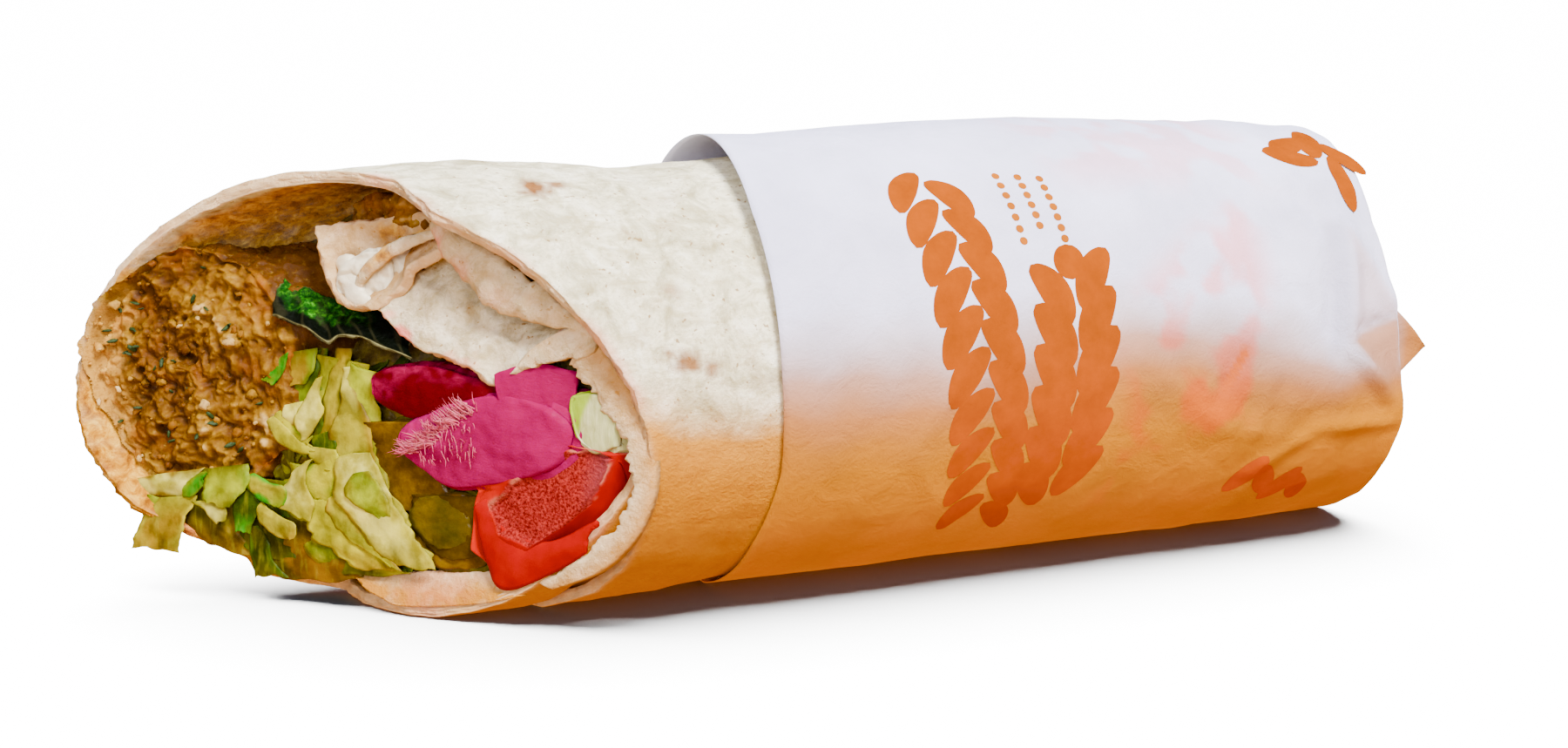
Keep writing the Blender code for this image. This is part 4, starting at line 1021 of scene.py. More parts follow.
def paper_tail(material):
    """The small folded corner that stands out of the sleeve's end."""
    rows = (((90.5, 40.5), (96.0, 39.2), (101.0, 35.2), (104.6, 31.6)),
            ((90.0, 33.0), (95.5, 32.6), (100.5, 31.8), (104.8, 31.4)),
            ((90.5, 25.0), (96.0, 26.0), (101.0, 28.4), (104.6, 31.2)))
    grid = np.array([[(x, -28.6 + 0.25 * i + 0.05 * (x - 90), z) for x, z in row]
                     for i, row in enumerate(rows)])
    grid = spline(spline(grid, 13).transpose(1, 0, 2), 16)
    grid[:, :, 1] += 0.4 * perlin(grid, 5.0, 51.0)
    points, faces = two_sided(grid, grid + (0.0, 0.35, 0.0))
    zero = np.zeros(len(points))
    # Painted amber light, stronger towards the tail's tip
    warm = 0.45 * smooth(92.0, 103.0, points[:, 0])
    make_object("paper_tail", points, faces, material, "paper", "paper", ghost=zero, dull=zero, warm=warm)


def petal(pile, x, angle, length, width, turn, bend=0.0):
    """A leaf-shaped or round patch of print that lies on the paper; sizes in mm, turn in degrees."""
    along, rows = 21, 7
    t = np.linspace(-1.0, 1.0, along)
    half = 0.5 * width * np.sqrt(np.maximum(1.0 - np.abs(t) ** (2.0 if length < 1.3 * width else 1.7), 0.0))
    v = np.linspace(-1.0, 1.0, rows)
    u = v[None, :] * half[:, None] + bend * (t[:, None] ** 2 - 0.5)
    w = 0.5 * length * t[:, None] * np.ones((1, rows))
    c, s = math.cos(math.radians(turn)), math.sin(math.radians(turn))
    place_x = x + u * c - w * s
    place_angle = angle + (u * s + w * c) / PAPER_MM_PER_DEGREE
    # How far down the sleeve it lies, for the print's painted amber light
    low = smooth(165.0, 215.0, place_angle).ravel()
    pile.add(paper_point(place_x, place_angle, PRINT_LIFT), strip_faces(along, rows), low=low)


def paper_print():
    """Two generic leaf sprigs, loose leaf shapes and rows of dots, printed in orange."""
    bold = Pile()
    for k in range(10):
        share = k / 9.0
        angle = 131.0 + 88.0 * share
        x = 12.2 + 7.6 * share
        size = 1.0 - 0.25 * abs(share - 0.45)
        petal(bold, x - 3.4, angle, 10.6 * size, 4.9 * size, 36.0, 0.8)
        petal(bold, x + 3.4, angle + 3.5, 10.6 * size, 4.9 * size, -36.0, -0.8)
    for k in range(6):
        share = k / 5.0
        angle = 162.0 + 50.0 * share
        x = 32.0 - 1.0 * share
        size = 1.15 - 0.2 * abs(share - 0.5)
        petal(bold, x - 3.7, angle, 10.4 * size, 5.0 * size, -32.0, -0.8)
        petal(bold, x + 3.7, angle - 3.0, 10.4 * size, 5.0 * size, 32.0, 0.8)
    petal(bold, 32.0, 154.5, 5.4, 5.4, 0.0)
    for leaf_shape in PRINT_SPRAY:
        petal(bold, *leaf_shape)
    bold.build("paper_print", print_material("print_orange", (0.24, 0.046, 0.0001), (0.34, 0.055, 0.0001)),
               "paper", "paper")
    small = Pile()
    for row, (x, low, high) in enumerate(PRINT_DOTS):
        count = 7 - row % 2
        for k in range(count):
            petal(small, x + 0.05 * k, low + (high - low) * (k + 0.5) / count, 1.3, 1.3, 0.0)
    for x, angle, turn in PRINT_ZIGZAG:
        petal(small, x, angle, 9.5, 4.2, turn)
    faded = print_material("print_faded", (0.32, 0.085, 0.003), (0.40, 0.060, 0.0001))
    small.build("paper_print_small", faded, "paper", "paper")


# ---------------------------------------------------------------- fillings

WALL_GAP = 0.45         # between the bread's inner face and the fillings
HEAP_BACK_X = 84.0
# Name, points round it, rings on its front and its side, loose crumbs, seeds and herb flecks
FALAFELS = (("falafel_1", 260, 130, 50, 110, 34), ("falafel_2", 120, 50, 20, 24, 7),
            ("falafel_3", 110, 44, 20, 16, 5))
# Paler patches of the large falafel: y, z, size, strength
FALAFEL_PALE = ((15.5, 45.0, 7.0, 0.24), (11.0, 26.5, 4.0, 0.34), (13.0, 30.0, 3.0, 0.2),
                (28.0, 41.0, 5.0, 0.32))
# Dark, light and palest tint of each kind
TURNIP_TINTS = (("crimson", ((0.045, 0.0001, 0.001), (0.10, 0.0002, 0.004), (0.26, 0.002, 0.05))),
                ("magenta", ((0.17, 0.0001, 0.038), (0.29, 0.0001, 0.074), (0.40, 0.005, 0.14))),
                ("fringe", ((0.36, 0.010, 0.060), (0.54, 0.07, 0.12), (0.66, 0.24, 0.26))))
TURNIP_SLICE = ((-16.9, 36.2, -18.4, 29.6, -0.6), (-18.8, 37.4, -20.2, 29.9, 0.0),
                (-21.2, 37.8, -22.4, 28.6, 1.0), (-24.0, 37.0, -24.4, 27.8, 2.0))
# Slices: rows across each (y, z of both edges, depth)
PICKLE_1 = ((-0.4, 27.8, -7.9, 28.5, 1.6), (-0.4, 22.7, -9.6, 23.6, 1.6), (-2.1, 17.9, -10.0, 18.5, 1.6),
            (-3.4, 15.4, -10.4, 16.0, 1.6))
PICKLE_2 = ((-6.0, 17.9, -14.8, 18.6, 1.0), (-6.3, 12.4, -14.5, 14.0, 1.0), (-9.2, 8.7, -14.2, 9.9, 1.0))
PICKLE_SKIN = ((-7.0, 17.6, -9.4, 18.2, 0.8), (-5.9, 15.2, -12.4, 16.0, 0.8),
               (-6.6, 12.6, -13.2, 13.4, 0.8), (-8.4, 10.4, -11.4, 10.8, 0.8))
TOMATO_SKIN = ((-15.6, 18.6, -14.3, 16.6, -0.2), (-17.0, 15.0, -15.0, 11.0, -0.3),
               (-19.6, 13.2, -17.0, 5.7, -0.4), (-23.0, 13.6, -21.6, 8.0, -0.2),
               (-27.2, 17.0, -26.0, 12.0, 0.2))
# Outline of the tomato's cut flesh
TOMATO_FACE = ((-15.8, 17.6), (-18.8, 21.6), (-24.0, 26.2), (-27.4, 26.8), (-28.9, 24.0), (-27.7, 17.8),
               (-24.6, 14.3), (-20.6, 12.2), (-17.2, 13.8))
# Points on the cut, radii along them, seed
DOLLOPS = ((((3.4, 50.6, 3.4), (1.6, 49.6, 2.4), (0.2, 47.6, 1.4), (-1.6, 45.8, 0.2), (-3.0, 44.9, 0.0)),
            (0.7, 1.9, 2.3, 1.7, 0.6), 3.0),
           (((0.6, 51.6, 4.4), (-0.4, 50.2, 3.2), (-1.8, 48.6, 2.4)), (0.6, 1.3, 0.7), 5.0))


def inner_limit(angle):
    """How far in from the skin the fillings start."""
    along = np.where(angle >= ROLL_START, angle, angle + 360.0)
    return layer_depth(along) + BREAD_T + WALL_GAP


def keep_inside(points, spare=0.0):
    """Move points in from the roll's wall where they lie in or beyond it."""
    x, y, z = points[..., 0], points[..., 1], points[..., 2]
    half, rise, middle, floor = bread_size(x)
    angle = np.degrees(np.arctan2((z - middle) / rise, y / half)) % 360.0
    limit = inner_limit(angle) + spare
    reach = np.maximum(np.hypot(y / (half - limit), (z - middle) / (rise - limit)), 1.0)
    y = y / reach
    z = middle + (z - middle) / reach
    return np.stack((x, y, np.maximum(z, floor + limit)), -1)


def chunk_shape(name, count, front_rings, side_rings, detail):
    """A chunk as in the solids, with many more rings; detail(points, reach) gives a lift outwards."""
    centre, half, turn, power, front, back, bulge, seed = CHUNKS[name]
    turn = math.radians(turn)
    reach = np.concatenate((np.linspace(0.02, 1.0, front_rings), np.full(side_rings, 1.0), (0.9, 0.6, 0.05)))
    depth = np.concatenate((front - bulge * (1 - np.linspace(0.02, 1.0, front_rings) ** 2.2),
                            np.linspace(front + 0.5, back - 1.0, side_rings), (back, back + 0.2, back + 0.4)))
    a = np.linspace(0, 2 * math.pi, count, endpoint=False)
    c, s = np.cos(a), np.sin(a)
    u = half[0] * np.sign(c) * np.abs(c) ** (2 / power)
    v = half[1] * np.sign(s) * np.abs(s) ** (2 / power)
    ring = points_of(3 * c / 1.6 + seed * 7.3, 3 * s / 1.6 - seed * 3.1, seed / 1.6 + seed)
    shape = 1.0 + 0.09 * np.array([noise.noise(p) for p in ring.tolist()])
    rounding = reach[:, None]
    y = centre[0] + rounding * shape * (u * math.cos(turn) - v * math.sin(turn))
    z = centre[1] + rounding * shape * (u * math.sin(turn) + v * math.cos(turn))
    grid = cut_point(y, z, np.broadcast_to(depth[:, None], y.shape))
    normal = normals_of(np.concatenate((grid, grid[:, :1]), 1))[:, :-1]
    if normal[3, :, 0].mean() > 0:
        normal = -normal
    grid = keep_inside(grid + normal * detail(grid, rounding)[..., None])
    return grid, closed_faces(grid.shape[0], count)


def crumb_relief(grid, seed):
    """Height and tone of the broken, clumped face of a falafel; the tone is painted light on raised clumps
    and painted shade in pits and the gaps between pebbles.
    """
    size = 2.6
    bent = grid + 0.9 * perlin(grid, size, seed)[..., None]
    clump = perlin(bent, size * 2.2, seed + 2)
    lump = perlin(bent, size * 0.95, seed + 3)
    crumb = perlin(bent, size * 0.46, seed + 4)
    grit = perlin(grid, size * 0.24, seed + 7)
    coarse = perlin(grid, 9.0, seed + 5)
    gap, tone = cells(bent, size * 0.62, seed + 3)
    pebble = np.sqrt(np.clip(gap / (size * 0.5), 0, 1))
    pit = smooth(0.38, 0.58, perlin(grid, 3.0, seed + 8))
    height = 1.2 * clump + 0.9 * lump + 0.65 * crumb + 0.22 * grit + 1.0 * coarse + 0.4 * pebble - 1.2 * pit
    shade = 0.45 + 0.40 * clump + 0.28 * lump + 0.24 * crumb + 0.16 * grit + 0.22 * coarse
    shade = shade + 0.28 * (tone - 0.5) * pebble - 0.08 * (1 - pebble) - 0.3 * pit
    return height - 0.5, np.clip(shade, 0, 1)


def blob(pile, centre, size, axes, seed, **values):
    """A small rough lump."""
    ring_count, count = 6, 9
    theta = np.linspace(0.12, math.pi - 0.12, ring_count)
    phi = np.linspace(0, 2 * math.pi, count, endpoint=False)
    t, p = np.meshgrid(theta, phi, indexing="ij")
    unit = np.stack((np.sin(t) * np.cos(p), np.sin(t) * np.sin(p), np.cos(t)), -1)
    rough = 1.0 + 0.7 * perlin(unit * 3.0, 2.0, seed)
    turn = Matrix.Rotation(seed * 2.1, 3, "X") @ Matrix.Rotation(seed * 1.3, 3, "Z")
    pts = (unit * rough[..., None] * np.array(axes) * size) @ np.array(turn).T + np.array(centre)
    pile.add(pts, closed_faces(ring_count, count), **values)


def falafels(material):
    """Each falafel's broken face with loose crumbs, and all their seeds and herb flecks."""
    seeds = Pile()
    herbs = Pile()
    for name, count, rings, side, crumbs, flecks in FALAFELS:
        seed = CHUNKS[name].seed
        store = {}

        def detail(grid, reach, seed=seed, store=store):
            height, shade = crumb_relief(grid, seed)
            store["tone"] = shade
            return height * np.where(reach < 1.0, 1.0, 0.7)

        grid, faces = chunk_shape(name, count, rings, side, detail)
        reach = np.concatenate((np.linspace(0, 1, rings), np.ones(side + 3)))[:, None]
        behind = (np.arange(len(grid)) > rings + 1)[:, None]
        pale = spots(grid.reshape(-1, 3), FALAFEL_PALE, 31.0)
        pale = pale.reshape(grid.shape[:2]) + 0.12 * smooth(26.0, 32.0, grid[..., 1])
        # Sides that lie inside the roll are darkened: painted shade
        tone = np.clip(store["tone"] + pale, 0, 1) * np.where(behind, 0.4, 1.0)
        left = smooth(22.0, 30.0, grid[..., 1]) if name == "falafel_1" else 0.5 * np.ones(grid.shape[:2])
        crust = 0.8 * smooth(-0.1, 0.35, perlin(grid, 3.5, seed + 9))
        crust = crust * np.maximum(left, smooth(0.9, 1.0, reach))
        crust = np.maximum(crust, 0.3 * smooth(0.15, 0.5, perlin(grid, 5.0, seed + 10)))
        crust = np.where(behind, 0.0, crust)
        pile = Pile()
        golden = 0.9 * smooth(26.0, 30.5, grid[..., 1] + 1.8 * perlin(grid, 3.0, seed + 11))
        pile.add(grid, faces, tone=tone.ravel(), crust=crust.ravel(), golden=golden.ravel())
        rng = random.Random(seed)
        for k in range(crumbs):
            i = int((rings - 2) * math.sqrt(rng.random()) * 0.99)
            j = rng.randrange(count)
            size = 0.2 + 0.8 * rng.random() ** 3
            spot = grid[i, j] + np.array((-0.1, -0.1, 0.0)) * size
            spot = keep_inside(spot[None], size)[0]
            light = min(1.0, max(0.0, tone[i, j] + rng.uniform(-0.1, 0.4)))
            blob(pile, spot, size, (1, 0.8, 0.7), k * 0.7, tone=light, crust=0.3 * rng.random(),
                 golden=golden[i, j])
        for k in range(flecks):
            i = int((rings - 2) * math.sqrt(rng.random()) * 0.95)
            j = rng.randrange(count)
            spot = grid[i, j] + np.array((-0.35, -0.35, 0.12))
            target, size, axes = ((seeds, 0.8, (1.0, 0.5, 0.36)) if k % 9 == 0
                                  else (herbs, 0.55, (1.4, 0.55, 0.3)))
            blob(target, spot, size * rng.uniform(0.6, 1.25), axes, k * 1.9 + seed)
        pile.build(name + "_crumb", material, name, "falafel")
    seeds.build("sesame_seeds", speck_material("sesame", (0.42, 0.24, 0.07), (0.66, 0.46, 0.20), 0.45),
                "falafel_1", "falafel")
    herbs.build("herb_flecks", speck_material("herb", (0.004, 0.010, 0.002), (0.02, 0.05, 0.006), 0.6),
                "falafel_1", "falafel")


def soft_chunk(name, count, material, slot, bump, rings=40, size=3.0, extra=None):
    """A wet, smooth filling; extra(points, reach) gives the numbers that its material asks for."""
    side = 16
    seed = CHUNKS[name].seed
    front = CUT_X + CHUNKS[name].front + 0.6

    def detail(grid, reach):
        lift = bump * perlin(grid, size, seed) + 0.3 * bump * perlin(grid, size * 0.35, seed + 1)
        return lift - 0.9 * smooth(0.86, 1.0, reach) ** 2 * (grid[..., 0] + grid[..., 1] < front)

    grid, faces = chunk_shape(name, count, rings, side, detail)
    reach = np.concatenate((np.linspace(0, 1, rings), np.ones(side + 3)))[:, None] * np.ones((1, count))
    values = extra(grid, reach) if extra else {}
    values = {key: np.asarray(value).ravel() for key, value in values.items()}
    make_object(name + "_piece", grid, faces, material, name, slot, **values)


def hair(pile, root, direction, length, width, curl, seed, **values):
    """A thin tapering fibre."""
    steps = 7
    direction = np.array(direction, float)
    direction /= np.linalg.norm(direction)
    side = np.cross(direction, (-0.7, -0.7, 0.2))
    side /= np.linalg.norm(side)
    up = np.cross(direction, side)
    line = []
    for k in range(steps):
        t = k / (steps - 1)
        bend = curl * math.sin(2.2 * t + seed) - curl * math.sin(seed)
        line.append(np.array(root) + direction * length * t + side * bend + up * 0.5 * bend)
    points = []
    for k, centre in enumerate(line):
        w = width * (1.0 - 0.85 * k / (steps - 1)) / 2
        points += [centre + side * w, centre + up * w, centre - side * w, centre - up * w]
    faces = [[3, 2, 1, 0]]
    for k in range(steps - 1):
        faces += [[4 * k + c, 4 * k + (c + 1) % 4, 4 * k + 4 + (c + 1) % 4, 4 * k + 4 + c] for c in range(4)]
    faces.append([4 * steps - 4, 4 * steps - 3, 4 * steps - 2, 4 * steps - 1])
    pile.add(points, faces, **values)


def turnips():
    """Two pickled turnip pieces, a slice behind the lower one and its torn, fibrous edge."""
    crimson, magenta, fringe = [turnip_material("turnip_" + name, *tints) for name, tints in TURNIP_TINTS]

    def upper(grid, reach):
        # Paler along the top edge: a painted highlight
        rim = smooth(32.0, 35.0, grid[..., 2] + 0.3 * (grid[..., 1] + 9)) * smooth(0.35, 0.8, reach)
        return {"pale": 0.75 * rim * smooth(-0.4, 0.3, perlin(grid, 1.6, 61.0))}

    def lower(grid, reach):
        patch = 1 - smooth(0.3, 1.2, np.hypot((grid[..., 1] + 9.6) / 4.4, (grid[..., 2] - 27.4) / 3.6))
        rim = smooth(0.84, 0.98, reach) * (grid[..., 2] < 24)
        return {"pale": np.clip(0.75 * patch * (0.55 + 1.2 * perlin(grid, 1.0, 62.0)) + 0.45 * rim, 0, 1)}

    soft_chunk("turnip_1", 170, crimson, "turnip", 0.35, rings=50, size=4.0, extra=upper)
    soft_chunk("turnip_2", 190, magenta, "turnip", 0.5, rings=60, size=4.5, extra=lower)
    slab = Pile()
    sheet(slab, TURNIP_SLICE, 2.2, 71, ruffle=0.0, ragged=0.05, curl=0.5, pale=0.0)
    slab.build("turnip_2_slice", magenta, "turnip_2", "turnip")
    fibres = Pile()
    rng = random.Random(4)
    for _ in range(420):
        t = rng.random()
        y = -6.9 - 7.4 * t + rng.uniform(-0.7, 0.7)
        z = 25.6 + 6.6 * t ** 1.3 + rng.uniform(-0.9, 0.6)
        root = cut_point(y - 0.9, z - 0.7, -1.9 + rng.uniform(-0.4, 0.6))
        heading = (-0.75 + rng.uniform(-0.2, 0.2), 0.85 - 0.6 * t, 0.1 + 0.8 * t + rng.uniform(-0.5, 0.5))
        hair(fibres, root, heading, rng.uniform(0.8, 2.6), rng.uniform(0.12, 0.3), rng.uniform(0.1, 0.5),
             rng.random() * 6, pale=0.6 * rng.random())
    for _ in range(90):
        y, z = -9.5 - 6.5 * rng.random(), 23.6 + 6.0 * rng.random()
        root = cut_point(y, z, -2.5 + 0.3 * rng.random())
        heading = (rng.uniform(-0.3, 0.1), -0.8, rng.uniform(-0.9, 0.2))
        hair(fibres, root, heading, rng.uniform(0.8, 2.0), 0.2, 0.2, rng.random() * 6, pale=0.2)
    fibres.build("turnip_fibres", fringe, "turnip_2", "turnip")


def tomato():
    """A wedge with its cut flesh sunk a little into the skin, and the skin that shows below."""
    count, rings, side = 240, 90, 18
    store = {}

    def detail(grid, reach):
        dist = inside_distance(grid, TOMATO_FACE) + 0.35 * perlin(grid, 1.4, 64.0)
        flesh = smooth(-0.15, 0.25, dist) * (reach < 0.995)
        store["dist"], store["flesh"] = dist, flesh
        under = smooth(0.0, 5.0, -dist)
        lift = 0.25 * perlin(grid, 4.0, 65.0) + 0.08 * flesh * perlin(grid, 0.6, 66.0)
        lift -= 0.9 * flesh * smooth(0.0, 1.2, dist) + 1.5 * under * (grid[..., 2] < 20)
        return lift - 0.9 * smooth(0.9, 1.0, reach) ** 2 * (reach < 1.0)

    grid, faces = chunk_shape("tomato", count, rings, side, detail)
    flesh, dist = store["flesh"], store["dist"]
    pale = 0.6 * np.exp(-((dist - 0.1) / 0.28) ** 2) * smooth(-0.3, 0.3, perlin(grid, 1.6, 67.0))
    pale = pale * (grid[..., 2] > 17.0)
    amber = smooth(-18.4, -15.4, grid[..., 1])
    mauve = smooth(24.6, 27.6, -grid[..., 1])
    material = tomato_material()
    make_object("tomato_wedge", grid, faces, material, "tomato", "tomato", flesh=flesh.ravel(),
                pale=pale.ravel(), amber=amber.ravel(), mauve=mauve.ravel())
    under = Pile()
    sheet(under, TOMATO_SKIN, 1.6, 91, ruffle=0.0, ragged=0.02, curl=0.9, flesh=0.0, pale=0.0, amber=0.0,
          mauve=0.0)
    under.build("tomato_skin", material, "tomato", "tomato")


def pickles():
    """Both pickles and the green pepper."""
    material = pickle_material()

    def edge(grid, reach):
        return {"skin": 0.3 * smooth(0.9, 0.99, reach), "deep": np.zeros_like(reach)}

    def skin(grid, reach):
        return {"skin": smooth(-25.6, -24.9, grid[..., 1] + 0.22 * (grid[..., 2] - 30))}

    soft_chunk("pickle_1", 130, material, "pickle", 0.25, extra=edge)
    soft_chunk("pickle_2", 130, material, "pickle", 0.45, size=2.4, extra=edge)
    soft_chunk("green_pepper", 110, pepper_material(), "pepper", 0.18, extra=skin)
    for node, slices in (("pickle_1", ((PICKLE_1, 1.0, 0.0, 0.0),)),
                         ("pickle_2", ((PICKLE_2, 1.0, 0.0, 0.6), (PICKLE_SKIN, 0.4, 0.12, 0.35)))):
        slab = Pile()
        for rows, thick, green, deep in slices:
            sheet(slab, rows, thick, 81, ruffle=0.0, curl=0.3, skin=green, deep=deep)
        slab.build(node + "_slice", material, node, "pickle")


def sauce():
    material = sauce_material()
    soft_chunk("sauce", 130, material, "sauce", 0.7, size=2.4)
    dollop = Pile()
    for path, radii, seed in DOLLOPS:
        dollop.add(*tube(path, radii, 60, 28, 0.5, ((0.35, 2.2, seed), (0.12, 0.8, seed + 1))))
    dollop.build("sauce_dollop", material, "sauce", "sauce")


def leaf():
    """The herb leaf, with a frilled outer edge and a pale rib along the inner one; the frilled edge is
    painted lit green and the rest near-black as painted shade.
    """
    def frill(face):
        rows, cols = face.shape[:2]
        t = np.linspace(0, 1, rows)[:, None]
        top = np.linspace(0, 1, cols)[None] ** 2
        wave = 0.6 * (0.5 + 0.4 * top) * np.sin(9.0 * t * math.pi + 3.0 * np.linspace(0, 1, cols)[None])
        rough = 0.8 * top * perlin(face, 1.6, 72.0) + 0.5 * top * perlin(face, 0.7, 73.0)
        wave = wave * (0.35 + 0.65 * (1 - t))
        out = face + wave[..., None] * np.array((-0.6, -0.3, 0.9))
        return out + rough[..., None] * np.array((-0.6, -0.3, 1.1))

    points, faces, edge, face = thick_patch(LEAF, 34, 150, 0.4, 0.08, None, frill)
    half = face[..., 0].size
    cols = face.shape[1]
    across = np.tile(np.linspace(0, 1, cols), face.shape[0])
    t = np.repeat(np.linspace(0, 1, face.shape[0]), cols)
    flat = face.reshape(-1, 3)
    # Painted light along the frilled edge, fading towards the leaf's far end
    bright = smooth(0.40, 0.62, across + 0.3 * perlin(flat, 2.0, 71.0)) * (1 - smooth(0.52, 0.8, t))
    bright = bright * (0.55 + 0.6 * smooth(-0.2, 0.3, perlin(flat, 1.3, 74.0)))
    vein = 0.75 * (1 - smooth(0.0, 0.07, across)) * (0.5 + 0.5 * smooth(0.1, 0.4, t))
    side_veins = np.sin(t * 21.0 + across * 2.5 + 2.0 * perlin(flat, 4.0, 75.0))
    vein = vein + 0.04 * smooth(0.9, 0.98, np.abs(side_veins))
    all_bright, all_vein = np.zeros(len(points)), np.zeros(len(points))
    all_bright[:half] = all_bright[half:2 * half] = np.clip(bright, 0, 1)
    all_vein[:half] = vein
    make_object("leaf_blade", points, faces, leaf_material(), "leaf", "leaf",
                bright=all_bright, vein=np.clip(all_vein + 0.35 * edge, 0, 1))


def heap_recess(z):
    """How much further back the heap lies, higher up."""
    return 7.0 * smooth(26.0, 44.0, z) + 12.0 * smooth(44.0, 54.0, z)


def heap(material):
    """The filling behind the shreds, coloured near-black as painted shade that shows between them."""
    count = 150
    angle = np.linspace(0, 360, count, endpoint=False)
    rows = []
    y, z = section(CUT_X + 8.0, angle, 0.0)
    for reach in np.linspace(0.02, 0.95, 46):
        yy, zz = y * reach, 31.0 + (z - 31.0) * reach
        flat = points_of(3.0, yy, zz)
        depth = HEAP_FRONT + heap_recess(zz) + 1.6 * perlin(flat, 4.0, 4.0) + 0.9 * perlin(flat, 1.6, 5.0)
        rows.append(keep_inside(cut_point(yy, zz, depth)))
    start = CUT_X - y + HEAP_FRONT + 2.4 + heap_recess(z)
    for part in (0.0, 0.03, 0.1, 0.3, 0.6, 1.0):
        x = start + (HEAP_BACK_X - start) * part
        yy, zz = section(x, angle, 0.0)
        rows.append(keep_inside(np.stack((x, yy, zz), -1)))
    grid = np.array(rows)
    make_object("painted_shade_heap", grid, closed_faces(len(grid), count), material, "lettuce", "lettuce")


# ---------------------------------------------------------------- lettuce

# Lettuce tints; the grey, brown and near-black green ones are painted shade for pieces and ends lying further
# back
WHITE, PALE, YELLOW = (0.50, 0.46, 0.085), (0.21, 0.20, 0.002), (0.31, 0.285, 0.0002)
LIME, GREEN = (0.12, 0.17, 0.0003), (0.040, 0.075, 0.0003)
BRIGHT, TAN = (0.012, 0.19, 0.002), (0.20, 0.125, 0.003)
OLIVE, DEEP, BROWN = (0.062, 0.055, 0.0004), (0.010, 0.018, 0.0005), (0.12, 0.055, 0.001)
CREAM, YLIME, GREY = (0.29, 0.25, 0.009), (0.25, 0.29, 0.0003), (0.11, 0.095, 0.008)

